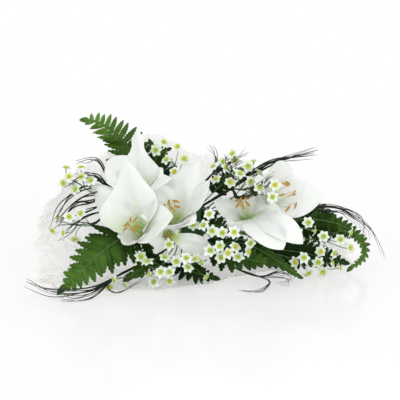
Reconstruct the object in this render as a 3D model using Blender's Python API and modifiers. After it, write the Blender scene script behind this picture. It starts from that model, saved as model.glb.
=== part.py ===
"""Bridal bouquet in a moulded bouquet holder, lying on its side on a table.

Lilies, leatherleaf fern, star-flower sprays and bundles of bear grass are pushed into a foam ball. The
ball sits in the cup of a plastic holder, whose ribbon-wrapped handle points back and down to the table,
and a sheet of plant fibre is folded under and behind the flowers as a collar.

Sizes and places are millimetres until a mesh is made. +X runs to the tail of the bouquet, -Y is the side
that the flowers face, +Z is up and z = 0 is the table.
"""
import math

import bmesh
import bpy
from mathutils import Matrix, Vector

MM = 0.001
GAP = 0.3                      # air between pieces that touch
UP = Vector((0, 0, 1))

# Holder and foam
FOAM_CENTRE = Vector((-35, 0, 75))
FOAM_RADIUS = 36
STEM_DEPTH = 14                # how far a cut stem goes into the foam
STRAIGHT_START = 7             # of a stem outside the foam, where the route's first point is far enough
CUTTER_OVERRUN = 4             # how far a stem hole's cutter stands out of the foam
HANDLE_TILT = math.radians(24.5)
HANDLE_AXIS = Vector((0, math.cos(HANDLE_TILT), -math.sin(HANDLE_TILT)))
CUP_WALL = 2.2
CUP_OPENING = math.radians(62)  # half angle of the cup, seen from the foam's centre
NECK_RADIUS = 9
NECK_END = 52                  # this and the next four, from the foam's centre along the handle
SHOULDER = 56
RIBBON_START = 58
RIBBON_END = 150
HANDLE_END = 154
HANDLE_RADIUS = 10.9
HANDLE_CHAMFER = 2.5
RIBBON_THICKNESS = 0.8

# Collar: stations along X, each with its front edge, its fold and its top edge
COLLAR_THICKNESS = 0.8
COLLAR_HOLE_RADIUS = NECK_RADIUS + 0.65
COLLAR_COLUMNS = 19
COLLAR_FLOOR_SHARES = (0, 0.45, 0.85)            # of the way from the front edge to the fold
COLLAR_RISE_SHARES = (0.12, 0.34, 0.64, 1.0)     # of the way from the fold to the top edge
COLLAR_FOLD_HEIGHT = 1.0
COLLAR_LEAN = 0.8              # below 1 the sheet leans back more at its foot
COLLAR_WAVE = 3                # waviness of the top edge
COLLAR_WAVELENGTH = 107
COLLAR_STATIONS = (
    # x, front edge y, fold y, top edge y, top edge z
    (-250, -62, -44, -34, 112),
    (-222, -74, -34, -14, 132),
    (-190, -84, -20, 12, 146),
    (-150, -98, -4, 34, 172),
    (-110, -104, 10, 48, 196),
    (-70, -106, 18, 54, 186),
    (-35, -96, 20, 54, 168),
    (5, -76, 20, 52, 160),
    (50, -40, 20, 48, 150),
    (95, -12, 20, 44, 134),
    (140, 0, 22, 40, 114),
    (180, 4, 22, 36, 84),
    (212, 6, 20, 28, 44),
)

# Lilies
LILY_STEM_RADIUS = 3.0
BELL_RADIUS = 4.2              # at the flower's base
BELL_FOOT = math.radians(9)    # the wall's angle to the axis at the base
BELL_RINGS = (0, 0.34, 0.68, 1.0)
TEPAL_THICKNESS = 0.8
TEPAL_ROWS = (0.36, 0.70, 1.0)  # of the free lobe's length
TEPAL_COLUMNS = (-1, -0.4, 0.4, 1)
TEPAL_TAPER = 0.6
SECTOR_SHARE = 0.96            # how much of its own sector a lobe may fill
STEM_STRAIGHT = 16             # straight length of the stem behind the flower
# Each lily: its base, its axis, the length of the bell's wall up to where the tepals part, the wall's
# angle to the axis there, and of its stamens the reach as a share of that length, the spread and the
# size of the anthers. Each tepal: azimuth round the axis from the flower's upper side, clockwise as seen
# from the front, then its length, its width and the angle that its tip makes with the axis.
LILIES = {
    "lily_1": {
        "base": (-86, -58, 61), "axis": (-0.42, -0.66, 0.62),
        "bell": 48, "mouth": 46, "stamens": (1.2, 9, 1),
        "tepals": ((-12, 134, 100, 48), (48, 90, 56, 55), (98, 103, 60, 75),
                   (150, 66, 50, 20), (222, 62, 42, 84), (290, 128, 60, 94)),
    },
    "lily_2": {
        "base": (-102, -8, 96), "axis": (-0.02, -0.4, 0.92),
        "bell": 44, "mouth": 40, "stamens": (1.1, 9, 1),
        "tepals": ((-3, 121, 64, 37), (62, 76, 64, 46), (112, 90, 50, 66),
                   (180, 80, 40, 40), (238, 84, 46, 60), (296, 87, 66, 42)),
    },
    "lily_3": {
        "base": (-46, -47, 64), "axis": (-0.14, -0.5, 0.86),
        "bell": 48, "mouth": 40, "stamens": (1.35, 10, 1),
        "tepals": ((20, 121, 80, 46), (74, 104, 54, 50), (120, 84, 48, 78),
                   (170, 66, 44, 34), (236, 66, 40, 44), (320, 76, 50, 39)),
    },
    "lily_4": {
        "base": (58, -38, 76), "axis": (-0.22, -0.5, 0.84),
        "bell": 36, "mouth": 50, "stamens": (1.55, 7, 1),
        "tepals": ((-4, 52, 40, 102), (74, 44, 34, 106), (113, 136, 44, 122),
                   (142, 122, 48, 111), (200, 58, 40, 60), (263, 68, 42, 45)),
    },
    "lily_5": {
        "base": (58, -24, 104), "axis": (0.74, -0.56, 0.38),
        "bell": 48, "mouth": 42, "stamens": (1.6, 18, 1),
        "tepals": ((-3, 91, 76, 42), (66, 90, 56, 48), (112, 110, 60, 50),
                   (160, 68, 46, 26), (232, 58, 32, 28), (300, 66, 44, 40)),
    },
    "lily_6": {
        "base": (-60, -78, 78), "axis": (0.25, -0.85, 0.1),
        "bell": 14, "mouth": 50, "stamens": (1.1, 4, 0.5),
        "tepals": ((-40, 22, 14, 30), (0, 22, 14, 30), (55, 22, 14, 30),
                   (114, 67, 31, 110), (184, 22, 14, 60), (254, 37, 32, 120)),
    },
}

# Stamens and pistil
FILAMENT_RADIUS = 0.6
ANTHER_RADIUS = 1.4
ANTHER_LENGTH = 9
ANTHER_TILT = (0.8, -0.6)      # outwards, and along the flower's axis
STAMEN_FOOT = 1.5              # from the flower's axis
PISTIL_EXTRA = 0.15            # how much further the pistil reaches, as a share of the bell's wall
PISTIL_RADIUS = 1.0
STIGMA_RADIUS = 2.2
STIGMA_LENGTH = 6
STIGMA_OFFSET = 2
RECEPTACLE_RADIUS = 2.3
RECEPTACLE_HEIGHT = 3

# Ferns: route of the midrib from the foam, blade's facing side, half width, pairs of leaflets, and the
# part of the route that is bare stalk
FERN_THICKNESS = 0.6
FERN_STALK_WIDTH = 2.2
FERN_STALK_TAPER = 0.6         # of the midrib's width that is lost by the tip
FERN_STALK_ROWS = 7
LEAFLET_SHORTEST = 3
LEAFLET_FORWARD = 0.45         # how far the leaflets lean towards the tip, and droop
LEAFLET_DROOP = 0.18
LEAFLET_BELLY = 0.45           # of the leaflet's length
FERNS = {
    "fern_frond_1": (((-82, 16, 110), (-104, 24, 150), (-122, 26, 184), (-143, 24, 206), (-166, 18, 220),
                      (-180, 14, 223)),
                     (0.1, -1.0, 0.1), 38, 11, 0.36),
    "fern_frond_2": (((-94, -40, 66), (-116, -74, 74), (-146, -99, 61), (-178, -115, 34),
                      (-204, -122, 12)),
                     (-0.3, -0.8, 0.5), 54, 11, 0.24),
    "fern_frond_3": (((-54, 24, 114), (-66, 32, 140), (-78, 36, 164), (-86, 38, 182)),
                     (0.0, -1.0, 0.2), 22, 7, 0.42),
    "fern_frond_4": (((-2, -44, 56), (30, -70, 44), (56, -80, 40), (84, -84, 36)),
                     (0.0, -1.0, 0.25), 32, 6, 0.4),
    "fern_frond_5": (((10, -14, 54), (62, -50, 50), (98, -68, 34), (130, -74, 12)),
                     (0.2, -0.9, 0.4), 12, 8, 0.38),
    "fern_frond_6": (((50, -2, 80), (128, -6, 79), (172, -10, 77), (205, -13, 66), (229, -15, 43),
                      (228, -18, 22), (208, -22, 6)),
                     (0.1, -1.0, 0.2), 15, 12, 0.42),
    "fern_frond_7": (((40, 4, 72), (96, 2, 68), (150, -4, 62), (214, -10, 54)),
                     (0.0, -1.0, -0.1), 40, 9, 0.32),
    "fern_frond_8": (((16, 26, 98), (70, 30, 106), (124, 25, 100), (166, 18, 88), (193, 12, 68)),
                     (0.0, -1.0, 0.3), 22, 9, 0.38),
    "fern_frond_9": (((-64, -46, 42), (-84, -74, 32), (-98, -88, 28), (-110, -96, 22)),
                     (-0.2, -0.9, 0.3), 24, 5, 0.42),
    "fern_frond_10": (((30, -4, 40), (90, -16, 36), (140, -22, 31), (200, -28, 18)),
                      (0.0, -1.0, 0.15), 38, 9, 0.34),
    "fern_frond_11": (((-40, -34, 34), (-37, -60, 27), (-21, -78, 20), (6, -88, 16)),
                      (0.0, -0.8, 0.6), 22, 7, 0.32),
    "fern_frond_12": (((-14, -34, 78), (-4, -50, 84), (10, -58, 84), (24, -62, 80)),
                      (0.0, -1.0, 0.1), 26, 7, 0.36),
    "fern_frond_13": (((0, -6, 112), (16, -4, 128), (32, -2, 142), (48, 0, 152)),
                      (0.0, -1.0, 0.1), 18, 7, 0.4),
    "fern_frond_14": (((-58, 12, 112), (-72, 16, 136), (-80, 18, 156), (-74, 18, 170), (-60, 18, 178)),
                      (0.0, -1.0, 0.1), 19, 7, 0.4),
}

# Star-flower sprays: route of the stem from the foam, then the flowers' centres
SPRAY_STEM_RADIUS = 1.1
SPRAY_STEM_TAPER = 0.3
PEDICEL_RADIUS = 0.55
PEDICEL_REACH = 24
STAR_TURN = Vector((0, -0.9, 0.4))  # star flowers turn this way from their stalk
STAR_RADIUS = 8.5
STAR_NOTCH = 3.6               # radius at the notches between petals
STAR_DEPTH = 4
SPRAYS = {
    "star_spray_1": (((-82, -16, 62), (-128, -20, 88), (-164, -34, 122), (-182, -42, 138)),
                     ((-204, -38, 164), (-182, -46, 166), (-168, -50, 148), (-190, -54, 136),
                      (-207, -50, 144), (-198, -56, 155), (-181, -54, 154))),
    "star_spray_2": (((-78, -18, 50), (-130, -44, 72), (-170, -60, 86), (-190, -66, 86)),
                     ((-215, -58, 96), (-198, -70, 100), (-181, -74, 106), (-222, -70, 80),
                      (-206, -76, 78), (-190, -78, 70))),
    "star_spray_3": (((-40, 14, 116), (-44, 12, 138), (-52, 12, 160)),
                     ((-66, 14, 190), (-46, 10, 184), (-78, 14, 178), (-36, 2, 168), (-62, 4, 166),
                      (-22, 14, 138), (-50, -6, 150))),
    "star_spray_4": (((-20, -4, 116), (6, -8, 132), (26, -12, 146)),
                     ((20, -10, 166), (38, -4, 168), (48, -12, 158), (24, -20, 159), (10, -34, 146),
                      (30, -44, 144), (6, -22, 162), (56, -30, 164), (38, -34, 154), (34, -10, 178))),
    "star_spray_5": (((6, -24, 100), (32, -38, 118), (48, -46, 138)),
                     ((64, -24, 170), (72, -34, 156), (44, -50, 158), (58, -56, 148), (70, -74, 144),
                      (90, -100, 154), (87, -96, 136))),
    "star_spray_6": (((-14, -40, 84), (-8, -62, 88), (0, -84, 88)),
                     ((0, -106, 114), (-8, -106, 98), (-22, -94, 95), (4, -106, 90), (18, -108, 88),
                      (34, -112, 90))),
    "star_spray_7": (((-6, -36, 66), (10, -62, 66), (24, -86, 62)),
                     ((14, -112, 70), (36, -110, 68), (54, -112, 62), (16, -102, 50), (56, -124, 78),
                      (40, -104, 52), (1, -108, 62), (26, -114, 60))),
    "star_spray_8": (((-50, -46, 36), (-60, -66, 33), (-70, -86, 30)),
                     ((-96, -98, 50), (-86, -108, 46), (-84, -104, 26), (-68, -112, 32), (-78, -98, 12),
                      (-56, -98, 14), (-56, -116, 34), (-62, -114, 54), (-56, -112, 72))),
    "star_spray_9": (((-31, -48, 42), (-28, -66, 32), (-28, -86, 30)),
                     ((-46, -110, 47), (-32, -117, 54), (-20, -112, 52), (-30, -110, 38),
                      (-10, -106, 44), (-4, -92, 18))),
    "star_spray_10": (((-56, -40, 38), (-80, -66, 20), (-106, -88, 14)),
                      ((-132, -122, 24), (-118, -108, 12), (-140, -106, 8))),
    "star_spray_11": (((20, -16, 82), (70, -24, 84), (110, -32, 84)),
                      ((108, -56, 92), (142, -54, 87), (126, -58, 74), (152, -46, 72))),
    "star_spray_12": (((20, -4, 60), (80, -14, 56), (136, -24, 54), (176, -28, 50)),
                      ((166, -40, 62), (191, -36, 56), (206, -34, 66), (206, -38, 44), (162, -42, 40),
                       (182, -44, 38))),
    "star_spray_13": (((10, -22, 52), (60, -28, 42), (110, -34, 30), (150, -36, 20)),
                      ((137, -54, 34), (124, -50, 26), (158, -50, 26), (144, -50, 9), (180, -40, 22),
                       (166, -46, 10), (192, -34, 12))),
}

# Bear-grass bundles: route of the tied butt from the foam, then the strands' own routes
BUTT_RADIUS = 2.0
STRAND_RADIUS = 0.7
STRAND_TAPER = 0.35
STRAND_POINTS = 8
STRAND_ROOT = 0.9              # from the butt's middle line
STRAND_BURIED = 4              # length inside the butt
STRAND_STRAIGHT = 8            # length that runs on in the butt's direction
GRASS = {
    "grass_bundle_1": (((-64, -28, 38), (-98, -64, 28), (-130, -100, 22)),
                       (((-164, -132, 17), (-218, -136, 12), (-257, -104, 19)),
                        ((-162, -134, 13), (-214, -140, 10), (-254, -124, 22)),
                        ((-160, -136, 10), (-194, -142, 8), (-216, -140, 22)),
                        ((-156, -134, 6), (-184, -146, 1.2), (-204, -144, 1.2)),
                        ((-142, -120, 12), (-124, -126, 8), (-94, -122, 26)))),
    "grass_bundle_2": (((4, 8, 86), (60, 14, 89), (128, 10, 91)),
                       (((177, 4, 96), (210, -6, 92), (227, -12, 75), (232, -18, 50)),
                        ((184, 8, 86), (206, -1, 82), (227, -5, 64), (231, -8, 50)),
                        ((188, 7, 93), (227, -14, 78), (241, -20, 62), (258, -26, 29)),
                        ((172, 2, 88), (198, -8, 88), (214, -15, 80)))),
    "grass_bundle_3": (((-8, -14, 102), (30, -26, 128)),
                       (((58, -24, 150), (96, -22, 171), (150, -25, 190)),
                        ((60, -23, 149), (98, -20, 170), (152, -19, 181)),
                        ((58, -22, 151), (94, -22, 172), (152, -14, 176)),
                        ((50, -36, 131), (70, -58, 143), (88, -76, 160)),
                        ((38, -38, 148), (30, -38, 168), (24, -36, 184)))),
    "grass_bundle_4": (((-76, 6, 92), (-110, -4, 108), (-136, -18, 120)),
                       (((-148, -26, 148), (-158, -32, 170), (-172, -38, 176), (-190, -42, 170)),
                        ((-150, -32, 140), (-160, -38, 152), (-176, -44, 158), (-188, -52, 150)),
                        ((-152, -42, 120), (-170, -52, 115), (-190, -58, 112), (-207, -60, 97),
                         (-214, -66, 84)),
                        ((-160, -30, 130), (-180, -36, 131), (-200, -50, 121), (-214, -62, 104),
                         (-217, -68, 86)),
                        ((-150, -38, 112), (-172, -54, 104), (-194, -62, 98)),
                        ((-150, -36, 138), (-166, -44, 153), (-184, -50, 154), (-200, -56, 140)),
                        ((-150, -34, 134), (-170, -32, 149), (-196, -36, 134), (-212, -50, 112)),
                        ((-150, -40, 104), (-176, -48, 100), (-200, -52, 88), (-212, -58, 66)))),
    "grass_bundle_5": (((-14, -30, 46), (30, -58, 24), (70, -86, 17)),
                       (((98, -98, 20), (114, -96, 13), (100, -92, 6)),
                        ((94, -90, 24), (112, -84, 18), (122, -78, 10)),
                        ((84, -98, 12), (70, -106, 1.6), (42, -108, 1.6)))),
    "grass_bundle_6": (((-22, 22, 108), (4, 16, 140)),
                       (((18, 10, 158), (28, 4, 172), (34, 0, 184)),
                        ((10, 14, 160), (8, 10, 176), (0, 8, 188)),
                        ((24, 14, 154), (44, 10, 168), (58, 6, 176)))),
}

# Colour, roughness and metallic value of each kind of piece
MATERIALS = {
    "holder_green": ((0.05, 0.14, 0.06), 0.45, 0.0),
    "satin_ivory": ((0.88, 0.86, 0.80), 0.35, 0.0),
    "wet_foam": ((0.04, 0.12, 0.05), 0.95, 0.0),
    "plant_fibre": ((0.90, 0.89, 0.84), 0.80, 0.0),
    "lily_stem": ((0.16, 0.30, 0.08), 0.50, 0.0),
    "lily_tepal": ((0.93, 0.94, 0.90), 0.45, 0.0),
    "lily_stamen": ((0.55, 0.28, 0.06), 0.70, 0.0),
    "fern_leaf": ((0.05, 0.20, 0.04), 0.45, 0.0),
    "star_flower": ((0.80, 0.86, 0.62), 0.55, 0.0),
    "bear_grass": ((0.02, 0.04, 0.02), 0.50, 0.0),
}


# ---------------------------------------------------------------- helpers

def material(name):
    """The Principled material of that name, made the first time it is asked for."""
    found = bpy.data.materials.get(name)
    if found:
        return found
    colour, roughness, metallic = MATERIALS[name]
    made = bpy.data.materials.new(name)
    made.use_nodes = True
    shader = made.node_tree.nodes["Principled BSDF"]
    shader.inputs["Base Color"].default_value = (*colour, 1)
    shader.inputs["Roughness"].default_value = roughness
    shader.inputs["Metallic"].default_value = metallic
    made.diffuse_color = (*colour, 1)
    return made


def link_mesh(name, mesh, collection, material_name):
    """A new object with that mesh, in the collection."""
    obj = bpy.data.objects.new(name, mesh)
    collection.objects.link(obj)
    if material_name:
        mesh.materials.clear()
        mesh.materials.append(material(material_name))
    return obj


def mesh_from(bm, name):
    """The bmesh, built in millimetres, as a mesh in metres."""
    bmesh.ops.scale(bm, vec=(MM, MM, MM), verts=bm.verts)
    mesh = bpy.data.meshes.new(name)
    bm.to_mesh(mesh)
    bm.free()
    return mesh


def smooth_path(points, steps):
    """Points along a Catmull-Rom curve through the given ones, with that many steps for each span."""
    knots = [Vector(p) for p in points]
    ends = [2 * knots[0] - knots[1]] + knots + [2 * knots[-1] - knots[-2]]
    path = []
    for a, b, c, d in zip(ends, ends[1:], ends[2:], ends[3:]):
        for step in range(steps):
            t = step / steps
            path.append(0.5 * (2 * b + (c - a) * t + (2 * a - 5 * b + 4 * c - d) * t ** 2
                               + (3 * b - a - 3 * c + d) * t ** 3))
    path.append(knots[-1])
    return path


def even_path(points, count):
    """That many points, evenly spaced along the smooth path through the given ones."""
    fine = smooth_path(points, 12)
    lengths = [0.0]
    for a, b in zip(fine, fine[1:]):
        lengths.append(lengths[-1] + (b - a).length)
    path = []
    k = 0
    for i in range(count):
        target = lengths[-1] * i / (count - 1)
        while k < len(fine) - 2 and lengths[k + 1] < target:
            k += 1
        share = (target - lengths[k]) / (lengths[k + 1] - lengths[k])
        path.append(fine[k].lerp(fine[k + 1], min(share, 1.0)))
    return path


def from_foam(route):
    """The route with its cut end in the foam, straight until it is clear of the ball."""
    first = Vector(route[0])
    outward = (first - FOAM_CENTRE).normalized()
    start = [FOAM_CENTRE + outward * r for r in (FOAM_RADIUS - STEM_DEPTH, FOAM_RADIUS)]
    if (first - FOAM_CENTRE).length > FOAM_RADIUS + 2 * STRAIGHT_START:
        start.append(FOAM_CENTRE + outward * (FOAM_RADIUS + STRAIGHT_START))
    return start + [Vector(p) for p in route]


def tangents(path):
    """The unit direction of the path at each of its points."""
    last = len(path) - 1
    return [(path[min(i + 1, last)] - path[max(i - 1, 0)]).normalized() for i in range(len(path))]


def across(direction, reference):
    """The unit vector along the reference that is square to the direction."""
    return (reference - direction * reference.dot(direction)).normalized()


def tubes_mesh(paths, name):
    """Closed tubes along paths of (point, radius), as one mesh in metres."""
    curve = bpy.data.curves.new(name, "CURVE")
    curve.dimensions = "3D"
    curve.bevel_depth = MM
    curve.bevel_resolution = 0
    curve.use_fill_caps = True
    for path in paths:
        spline = curve.splines.new("POLY")
        spline.points.add(len(path) - 1)
        for point, (place, radius) in zip(spline.points, path):
            point.co = (*(place * MM), 1)
            point.radius = radius
    obj = bpy.data.objects.new(name, curve)
    bpy.context.scene.collection.objects.link(obj)
    graph = bpy.context.evaluated_depsgraph_get()
    mesh = bpy.data.meshes.new_from_object(obj.evaluated_get(graph))
    bpy.data.objects.remove(obj)
    bm = bmesh.new()
    bm.from_mesh(mesh)
    bmesh.ops.remove_doubles(bm, verts=bm.verts, dist=1e-7)
    bm.to_mesh(mesh)
    bm.free()
    return mesh


def boolean(obj, helper, operation, use_self=False):
    """An exact Boolean between the object and a hidden helper."""
    modifier = obj.modifiers.new(operation.title(), "BOOLEAN")
    modifier.operation = operation
    modifier.object = helper
    modifier.solver = "EXACT"
    modifier.use_self = use_self
    helper.hide_render = True
    helper.display_type = "WIRE"


def solidify(obj, thickness, offset):
    """Give an open surface its thickness."""
    modifier = obj.modifiers.new("Thickness", "SOLIDIFY")
    modifier.thickness = thickness * MM
    modifier.offset = offset
    modifier.use_even_offset = False


def join_rings(bm, rings, closed):
    """Quads between each ring of vertices and the next."""
    for ring, following in zip(rings, rings[1:]):
        count = len(ring) if closed else len(ring) - 1
        for i in range(count):
            j = (i + 1) % len(ring)
            bm.faces.new((ring[i], ring[j], following[j], following[i]))


def turn_to_handle(obj):
    """Stand the object's +Z along the handle, with its origin at the foam's centre."""
    obj.location = FOAM_CENTRE * MM
    obj.rotation_mode = "QUATERNION"
    obj.rotation_quaternion = HANDLE_AXIS.to_track_quat("Z", "Y")


def turned(name, profile, collection, material_name, steps=16):
    """A turned piece: its profile of (radius, height along the handle), closed by a Screw."""
    bm = bmesh.new()
    verts = [bm.verts.new((radius, 0, height)) for radius, height in profile]
    for a, b in zip(verts, verts[1:] + verts[:1] if profile[0][0] > 0 else verts[1:]):
        bm.edges.new((a, b))
    obj = link_mesh(name, mesh_from(bm, name), collection, material_name)
    screw = obj.modifiers.new("Turn", "SCREW")
    screw.steps = steps
    screw.render_steps = steps
    screw.use_merge_vertices = True
    screw.merge_threshold = 0.00001
    turn_to_handle(obj)
    return obj


# ---------------------------------------------------------------- holder, ribbon, foam and collar

def make_holder(parts):
    """The holder: a cup round the back of the foam, its neck and its round handle."""
    inner = FOAM_RADIUS + 2 * GAP
    outer = inner + CUP_WALL
    angles = [CUP_OPENING * k / 5 for k in range(6)]
    inside = [(inner * math.sin(a), inner * math.cos(a)) for a in angles]
    neck_angle = math.asin(NECK_RADIUS / outer)
    outside_angles = [CUP_OPENING + (neck_angle - CUP_OPENING) * k / 4 for k in range(5)]
    outside = [(outer * math.sin(a), outer * math.cos(a)) for a in outside_angles]
    shaft = [(NECK_RADIUS, NECK_END), (HANDLE_RADIUS, SHOULDER),
             (HANDLE_RADIUS, HANDLE_END - HANDLE_CHAMFER), (HANDLE_RADIUS - HANDLE_CHAMFER, HANDLE_END),
             (0, HANDLE_END)]
    profile = inside + outside + shaft
    turned("holder_handle", profile[::-1], parts, "holder_green")


def make_ribbon(parts):
    """The satin ribbon wound round the handle, as one sleeve."""
    inner = HANDLE_RADIUS + GAP
    outer = inner + RIBBON_THICKNESS
    profile = [(outer, RIBBON_END), (outer, RIBBON_START), (inner, RIBBON_START), (inner, RIBBON_END)]
    turned("handle_ribbon", profile, parts, "satin_ivory")


def make_foam(parts, cutters, sockets):
    """The foam ball, with a hole for each stem."""
    bm = bmesh.new()
    bmesh.ops.create_uvsphere(bm, u_segments=16, v_segments=10, radius=FOAM_RADIUS)
    foam = link_mesh("floral_foam", mesh_from(bm, "floral_foam"), parts, "wet_foam")
    turn_to_handle(foam)
    bm = bmesh.new()
    bottom = FOAM_RADIUS - STEM_DEPTH - GAP
    top = FOAM_RADIUS + CUTTER_OVERRUN
    for outward, radius in sockets:
        bore = (radius + GAP) / math.cos(math.pi / 5)
        turn = outward.to_track_quat("Z", "Y").to_matrix().to_4x4()
        place = Matrix.Translation(outward * (bottom + top) / 2) @ turn
        bmesh.ops.create_cone(bm, cap_ends=True, segments=5, radius1=bore, radius2=bore,
                              depth=top - bottom, matrix=place)
    holes = link_mesh("stem_holes", mesh_from(bm, "stem_holes"), cutters, None)
    holes.location = FOAM_CENTRE * MM
    boolean(foam, holes, "DIFFERENCE", use_self=True)


def collar_station(x):
    """The collar's front edge, fold and top edge at x, between the stations on either side."""
    for left, right in zip(COLLAR_STATIONS, COLLAR_STATIONS[1:]):
        if x <= right[0]:
            break
    share = (x - left[0]) / (right[0] - left[0])
    return [a + (b - a) * share for a, b in zip(left[1:], right[1:])]


def make_collar(parts, cutters):
    """The fibre sheet: flat under the flowers, folded up and leaning back behind them."""
    left, right = COLLAR_STATIONS[0][0], COLLAR_STATIONS[-1][0]
    bm = bmesh.new()
    rows = []
    for i in range(COLLAR_COLUMNS):
        x = left + (right - left) * i / (COLLAR_COLUMNS - 1)
        front, fold, top_y, top_z = collar_station(x)
        row = [(x, front + (fold - front) * share, 0) for share in COLLAR_FLOOR_SHARES]
        row.append((x, fold, 0))
        for share in COLLAR_RISE_SHARES:
            lean = math.sin(share * math.pi / 2) ** COLLAR_LEAN
            wave = COLLAR_WAVE * share * math.sin(2 * math.pi * x / COLLAR_WAVELENGTH)
            height = COLLAR_FOLD_HEIGHT + (top_z - COLLAR_FOLD_HEIGHT) * share
            row.append((x, fold + (top_y - fold) * lean + wave, height))
        rows.append([bm.verts.new(p) for p in row])
    join_rings(bm, rows, closed=False)
    collar = link_mesh("fibre_collar", mesh_from(bm, "fibre_collar"), parts, "plant_fibre")
    solidify(collar, COLLAR_THICKNESS, -1)
    bm = bmesh.new()
    bmesh.ops.create_cone(bm, cap_ends=True, segments=12, radius1=COLLAR_HOLE_RADIUS,
                          radius2=COLLAR_HOLE_RADIUS, depth=30,
                          matrix=Matrix.Translation((0, 0, FOAM_RADIUS + 12)))
    hole = link_mesh("handle_hole", mesh_from(bm, "handle_hole"), cutters, None)
    turn_to_handle(hole)
    boolean(collar, hole, "DIFFERENCE")


# ---------------------------------------------------------------- lilies

class Lily:
    """A lily's axes and the shape of its tube, shared by the stem, the tepals and the stamens."""

    def __init__(self, spec):
        self.base = Vector(spec["base"])
        self.axis = Vector(spec["axis"]).normalized()
        self.up = across(self.axis, UP if self.axis.z < 0.98 else Vector((0, 1, 0)))
        self.right = self.up.cross(self.axis)
        self.tepals = spec["tepals"]
        self.wall = spec["bell"]
        self.mouth = math.radians(spec["mouth"])
        self.stamen_share, self.stamen_spread, self.anther_size = spec["stamens"]

    def radial(self, azimuth):
        """The direction square to the axis at that azimuth."""
        return self.up * math.cos(azimuth) + self.right * math.sin(azimuth)

    def bell(self, share):
        """The bell's radius and height at that share of its wall's length."""
        steps = 24
        radius, height = BELL_RADIUS, 0.0
        for step in range(steps):
            reach = share * (step + 0.5) / steps
            angle = BELL_FOOT + (self.mouth - BELL_FOOT) * reach ** 2
            radius += self.wall * share / steps * math.sin(angle)
            height += self.wall * share / steps * math.cos(angle)
        return radius, height

    def place(self, radius, height, azimuth):
        """A point at that radius, height and azimuth."""
        return self.base + self.axis * height + self.radial(azimuth) * radius


def add_tepal(bm, lily, tepal, edge, sector):
    """One free lobe, from its edge on the tube's mouth to its pointed tip, inside its own sector."""
    azimuth, length, width, tip_angle = tepal
    azimuth = math.radians(azimuth)
    outward = lily.radial(azimuth)
    sideways = outward.cross(lily.axis)
    sideways = -sideways if sideways.dot(edge[-1].co - edge[0].co) < 0 else sideways
    radius, height = lily.bell(1.0)
    free = length - lily.wall
    sag = radius - (lily.base + lily.axis * height - (edge[0].co + edge[-1].co) / 2).length
    rows = [edge]
    before = 0.0
    for share in TEPAL_ROWS:
        middle = (before + share) / 2
        angle = lily.mouth + (math.radians(tip_angle) - lily.mouth) * middle
        radius += free * (share - before) * math.sin(angle)
        height += free * (share - before) * math.cos(angle)
        before = share
        centre = lily.base + lily.axis * height + outward * radius
        if share == 1.0:
            tip = bm.verts.new(centre)
            for a, b in zip(rows[-1], rows[-1][1:]):
                bm.faces.new((a, b, tip))
            return
        half = min(width / 2 * (1 - share) ** TEPAL_TAPER, SECTOR_SHARE * math.tan(sector / 2) * radius)
        hollow = sag * (1 - share)
        inward = lily.axis * math.sin(angle) - outward * math.cos(angle)
        row = []
        for side in TEPAL_COLUMNS:
            row.append(bm.verts.new(centre + sideways * half * side + inward * hollow * (side ** 2)))
        join_rings(bm, [rows[-1], row], closed=False)
        rows.append(row)


def make_tepals(name, lily, parts):
    """The lily's six tepals: a joined tube with a closed base, and six free lobes."""
    bm = bmesh.new()
    azimuths = [math.radians(t[0]) for t in lily.tepals]
    following = azimuths[1:] + [azimuths[0] + 2 * math.pi]
    borders = [(a + b) / 2 for a, b in zip(azimuths, following)]
    spokes = []
    for start, end in zip([borders[-1] - 2 * math.pi] + borders, borders):
        spokes += [start + (end - start) * k / 3 for k in range(3)]
    rings = []
    for share in BELL_RINGS:
        radius, height = lily.bell(share)
        rings.append([bm.verts.new(lily.place(radius, height, a)) for a in spokes])
    join_rings(bm, rings, closed=True)
    bm.faces.new(rings[0][::-1])
    mouth = rings[-1] + rings[-1][:1]
    for k, tepal in enumerate(lily.tepals):
        gaps = [azimuths[k] - azimuths[k - 1], following[k] - azimuths[k]]
        sector = min(gap % (2 * math.pi) for gap in gaps)
        add_tepal(bm, lily, tepal, mouth[3 * k:3 * k + 4], sector)
    bmesh.ops.recalc_face_normals(bm, faces=bm.faces)
    obj = link_mesh(name + "_tepals", mesh_from(bm, name), parts, "lily_tepal")
    solidify(obj, TEPAL_THICKNESS, 0)


def make_stamens(name, lily, parts, cutters):
    """Six stamens with tilted anthers and the pistil, standing on one small receptacle."""
    lift = TEPAL_THICKNESS / 2 + GAP
    paths = []
    for k in range(6):
        azimuth = math.radians(60 * k + 30)
        foot = lily.place(STAMEN_FOOT, lift + 1, azimuth)
        head = lily.place(lily.stamen_spread, lily.stamen_share * lily.wall, azimuth)
        tilt = lily.radial(azimuth) * ANTHER_TILT[0] + lily.axis * ANTHER_TILT[1]
        tail = head + tilt * ANTHER_LENGTH * lily.anther_size
        wide = ANTHER_RADIUS * lily.anther_size
        paths.append([(foot, FILAMENT_RADIUS), (head, wide), (tail, wide * 0.6)])
    filaments = link_mesh(name + "_filaments", tubes_mesh(paths, name), cutters, None)
    tip = lily.place(STIGMA_OFFSET, (lily.stamen_share + PISTIL_EXTRA) * lily.wall, math.pi)
    route = [(lily.base + lily.axis * (lift + 1), PISTIL_RADIUS),
             (tip - lily.axis * STIGMA_LENGTH * lily.anther_size, PISTIL_RADIUS),
             (tip, STIGMA_RADIUS * lily.anther_size)]
    pistil = link_mesh(name + "_pistil", tubes_mesh([route], name), cutters, None)
    foot = lily.base + lily.axis * lift
    receptacle = [(foot, RECEPTACLE_RADIUS), (foot + lily.axis * RECEPTACLE_HEIGHT, RECEPTACLE_RADIUS)]
    obj = link_mesh(name + "_stamens", tubes_mesh([receptacle], name), parts, "lily_stamen")
    boolean(obj, pistil, "UNION")
    boolean(obj, filaments, "UNION", use_self=True)


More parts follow.
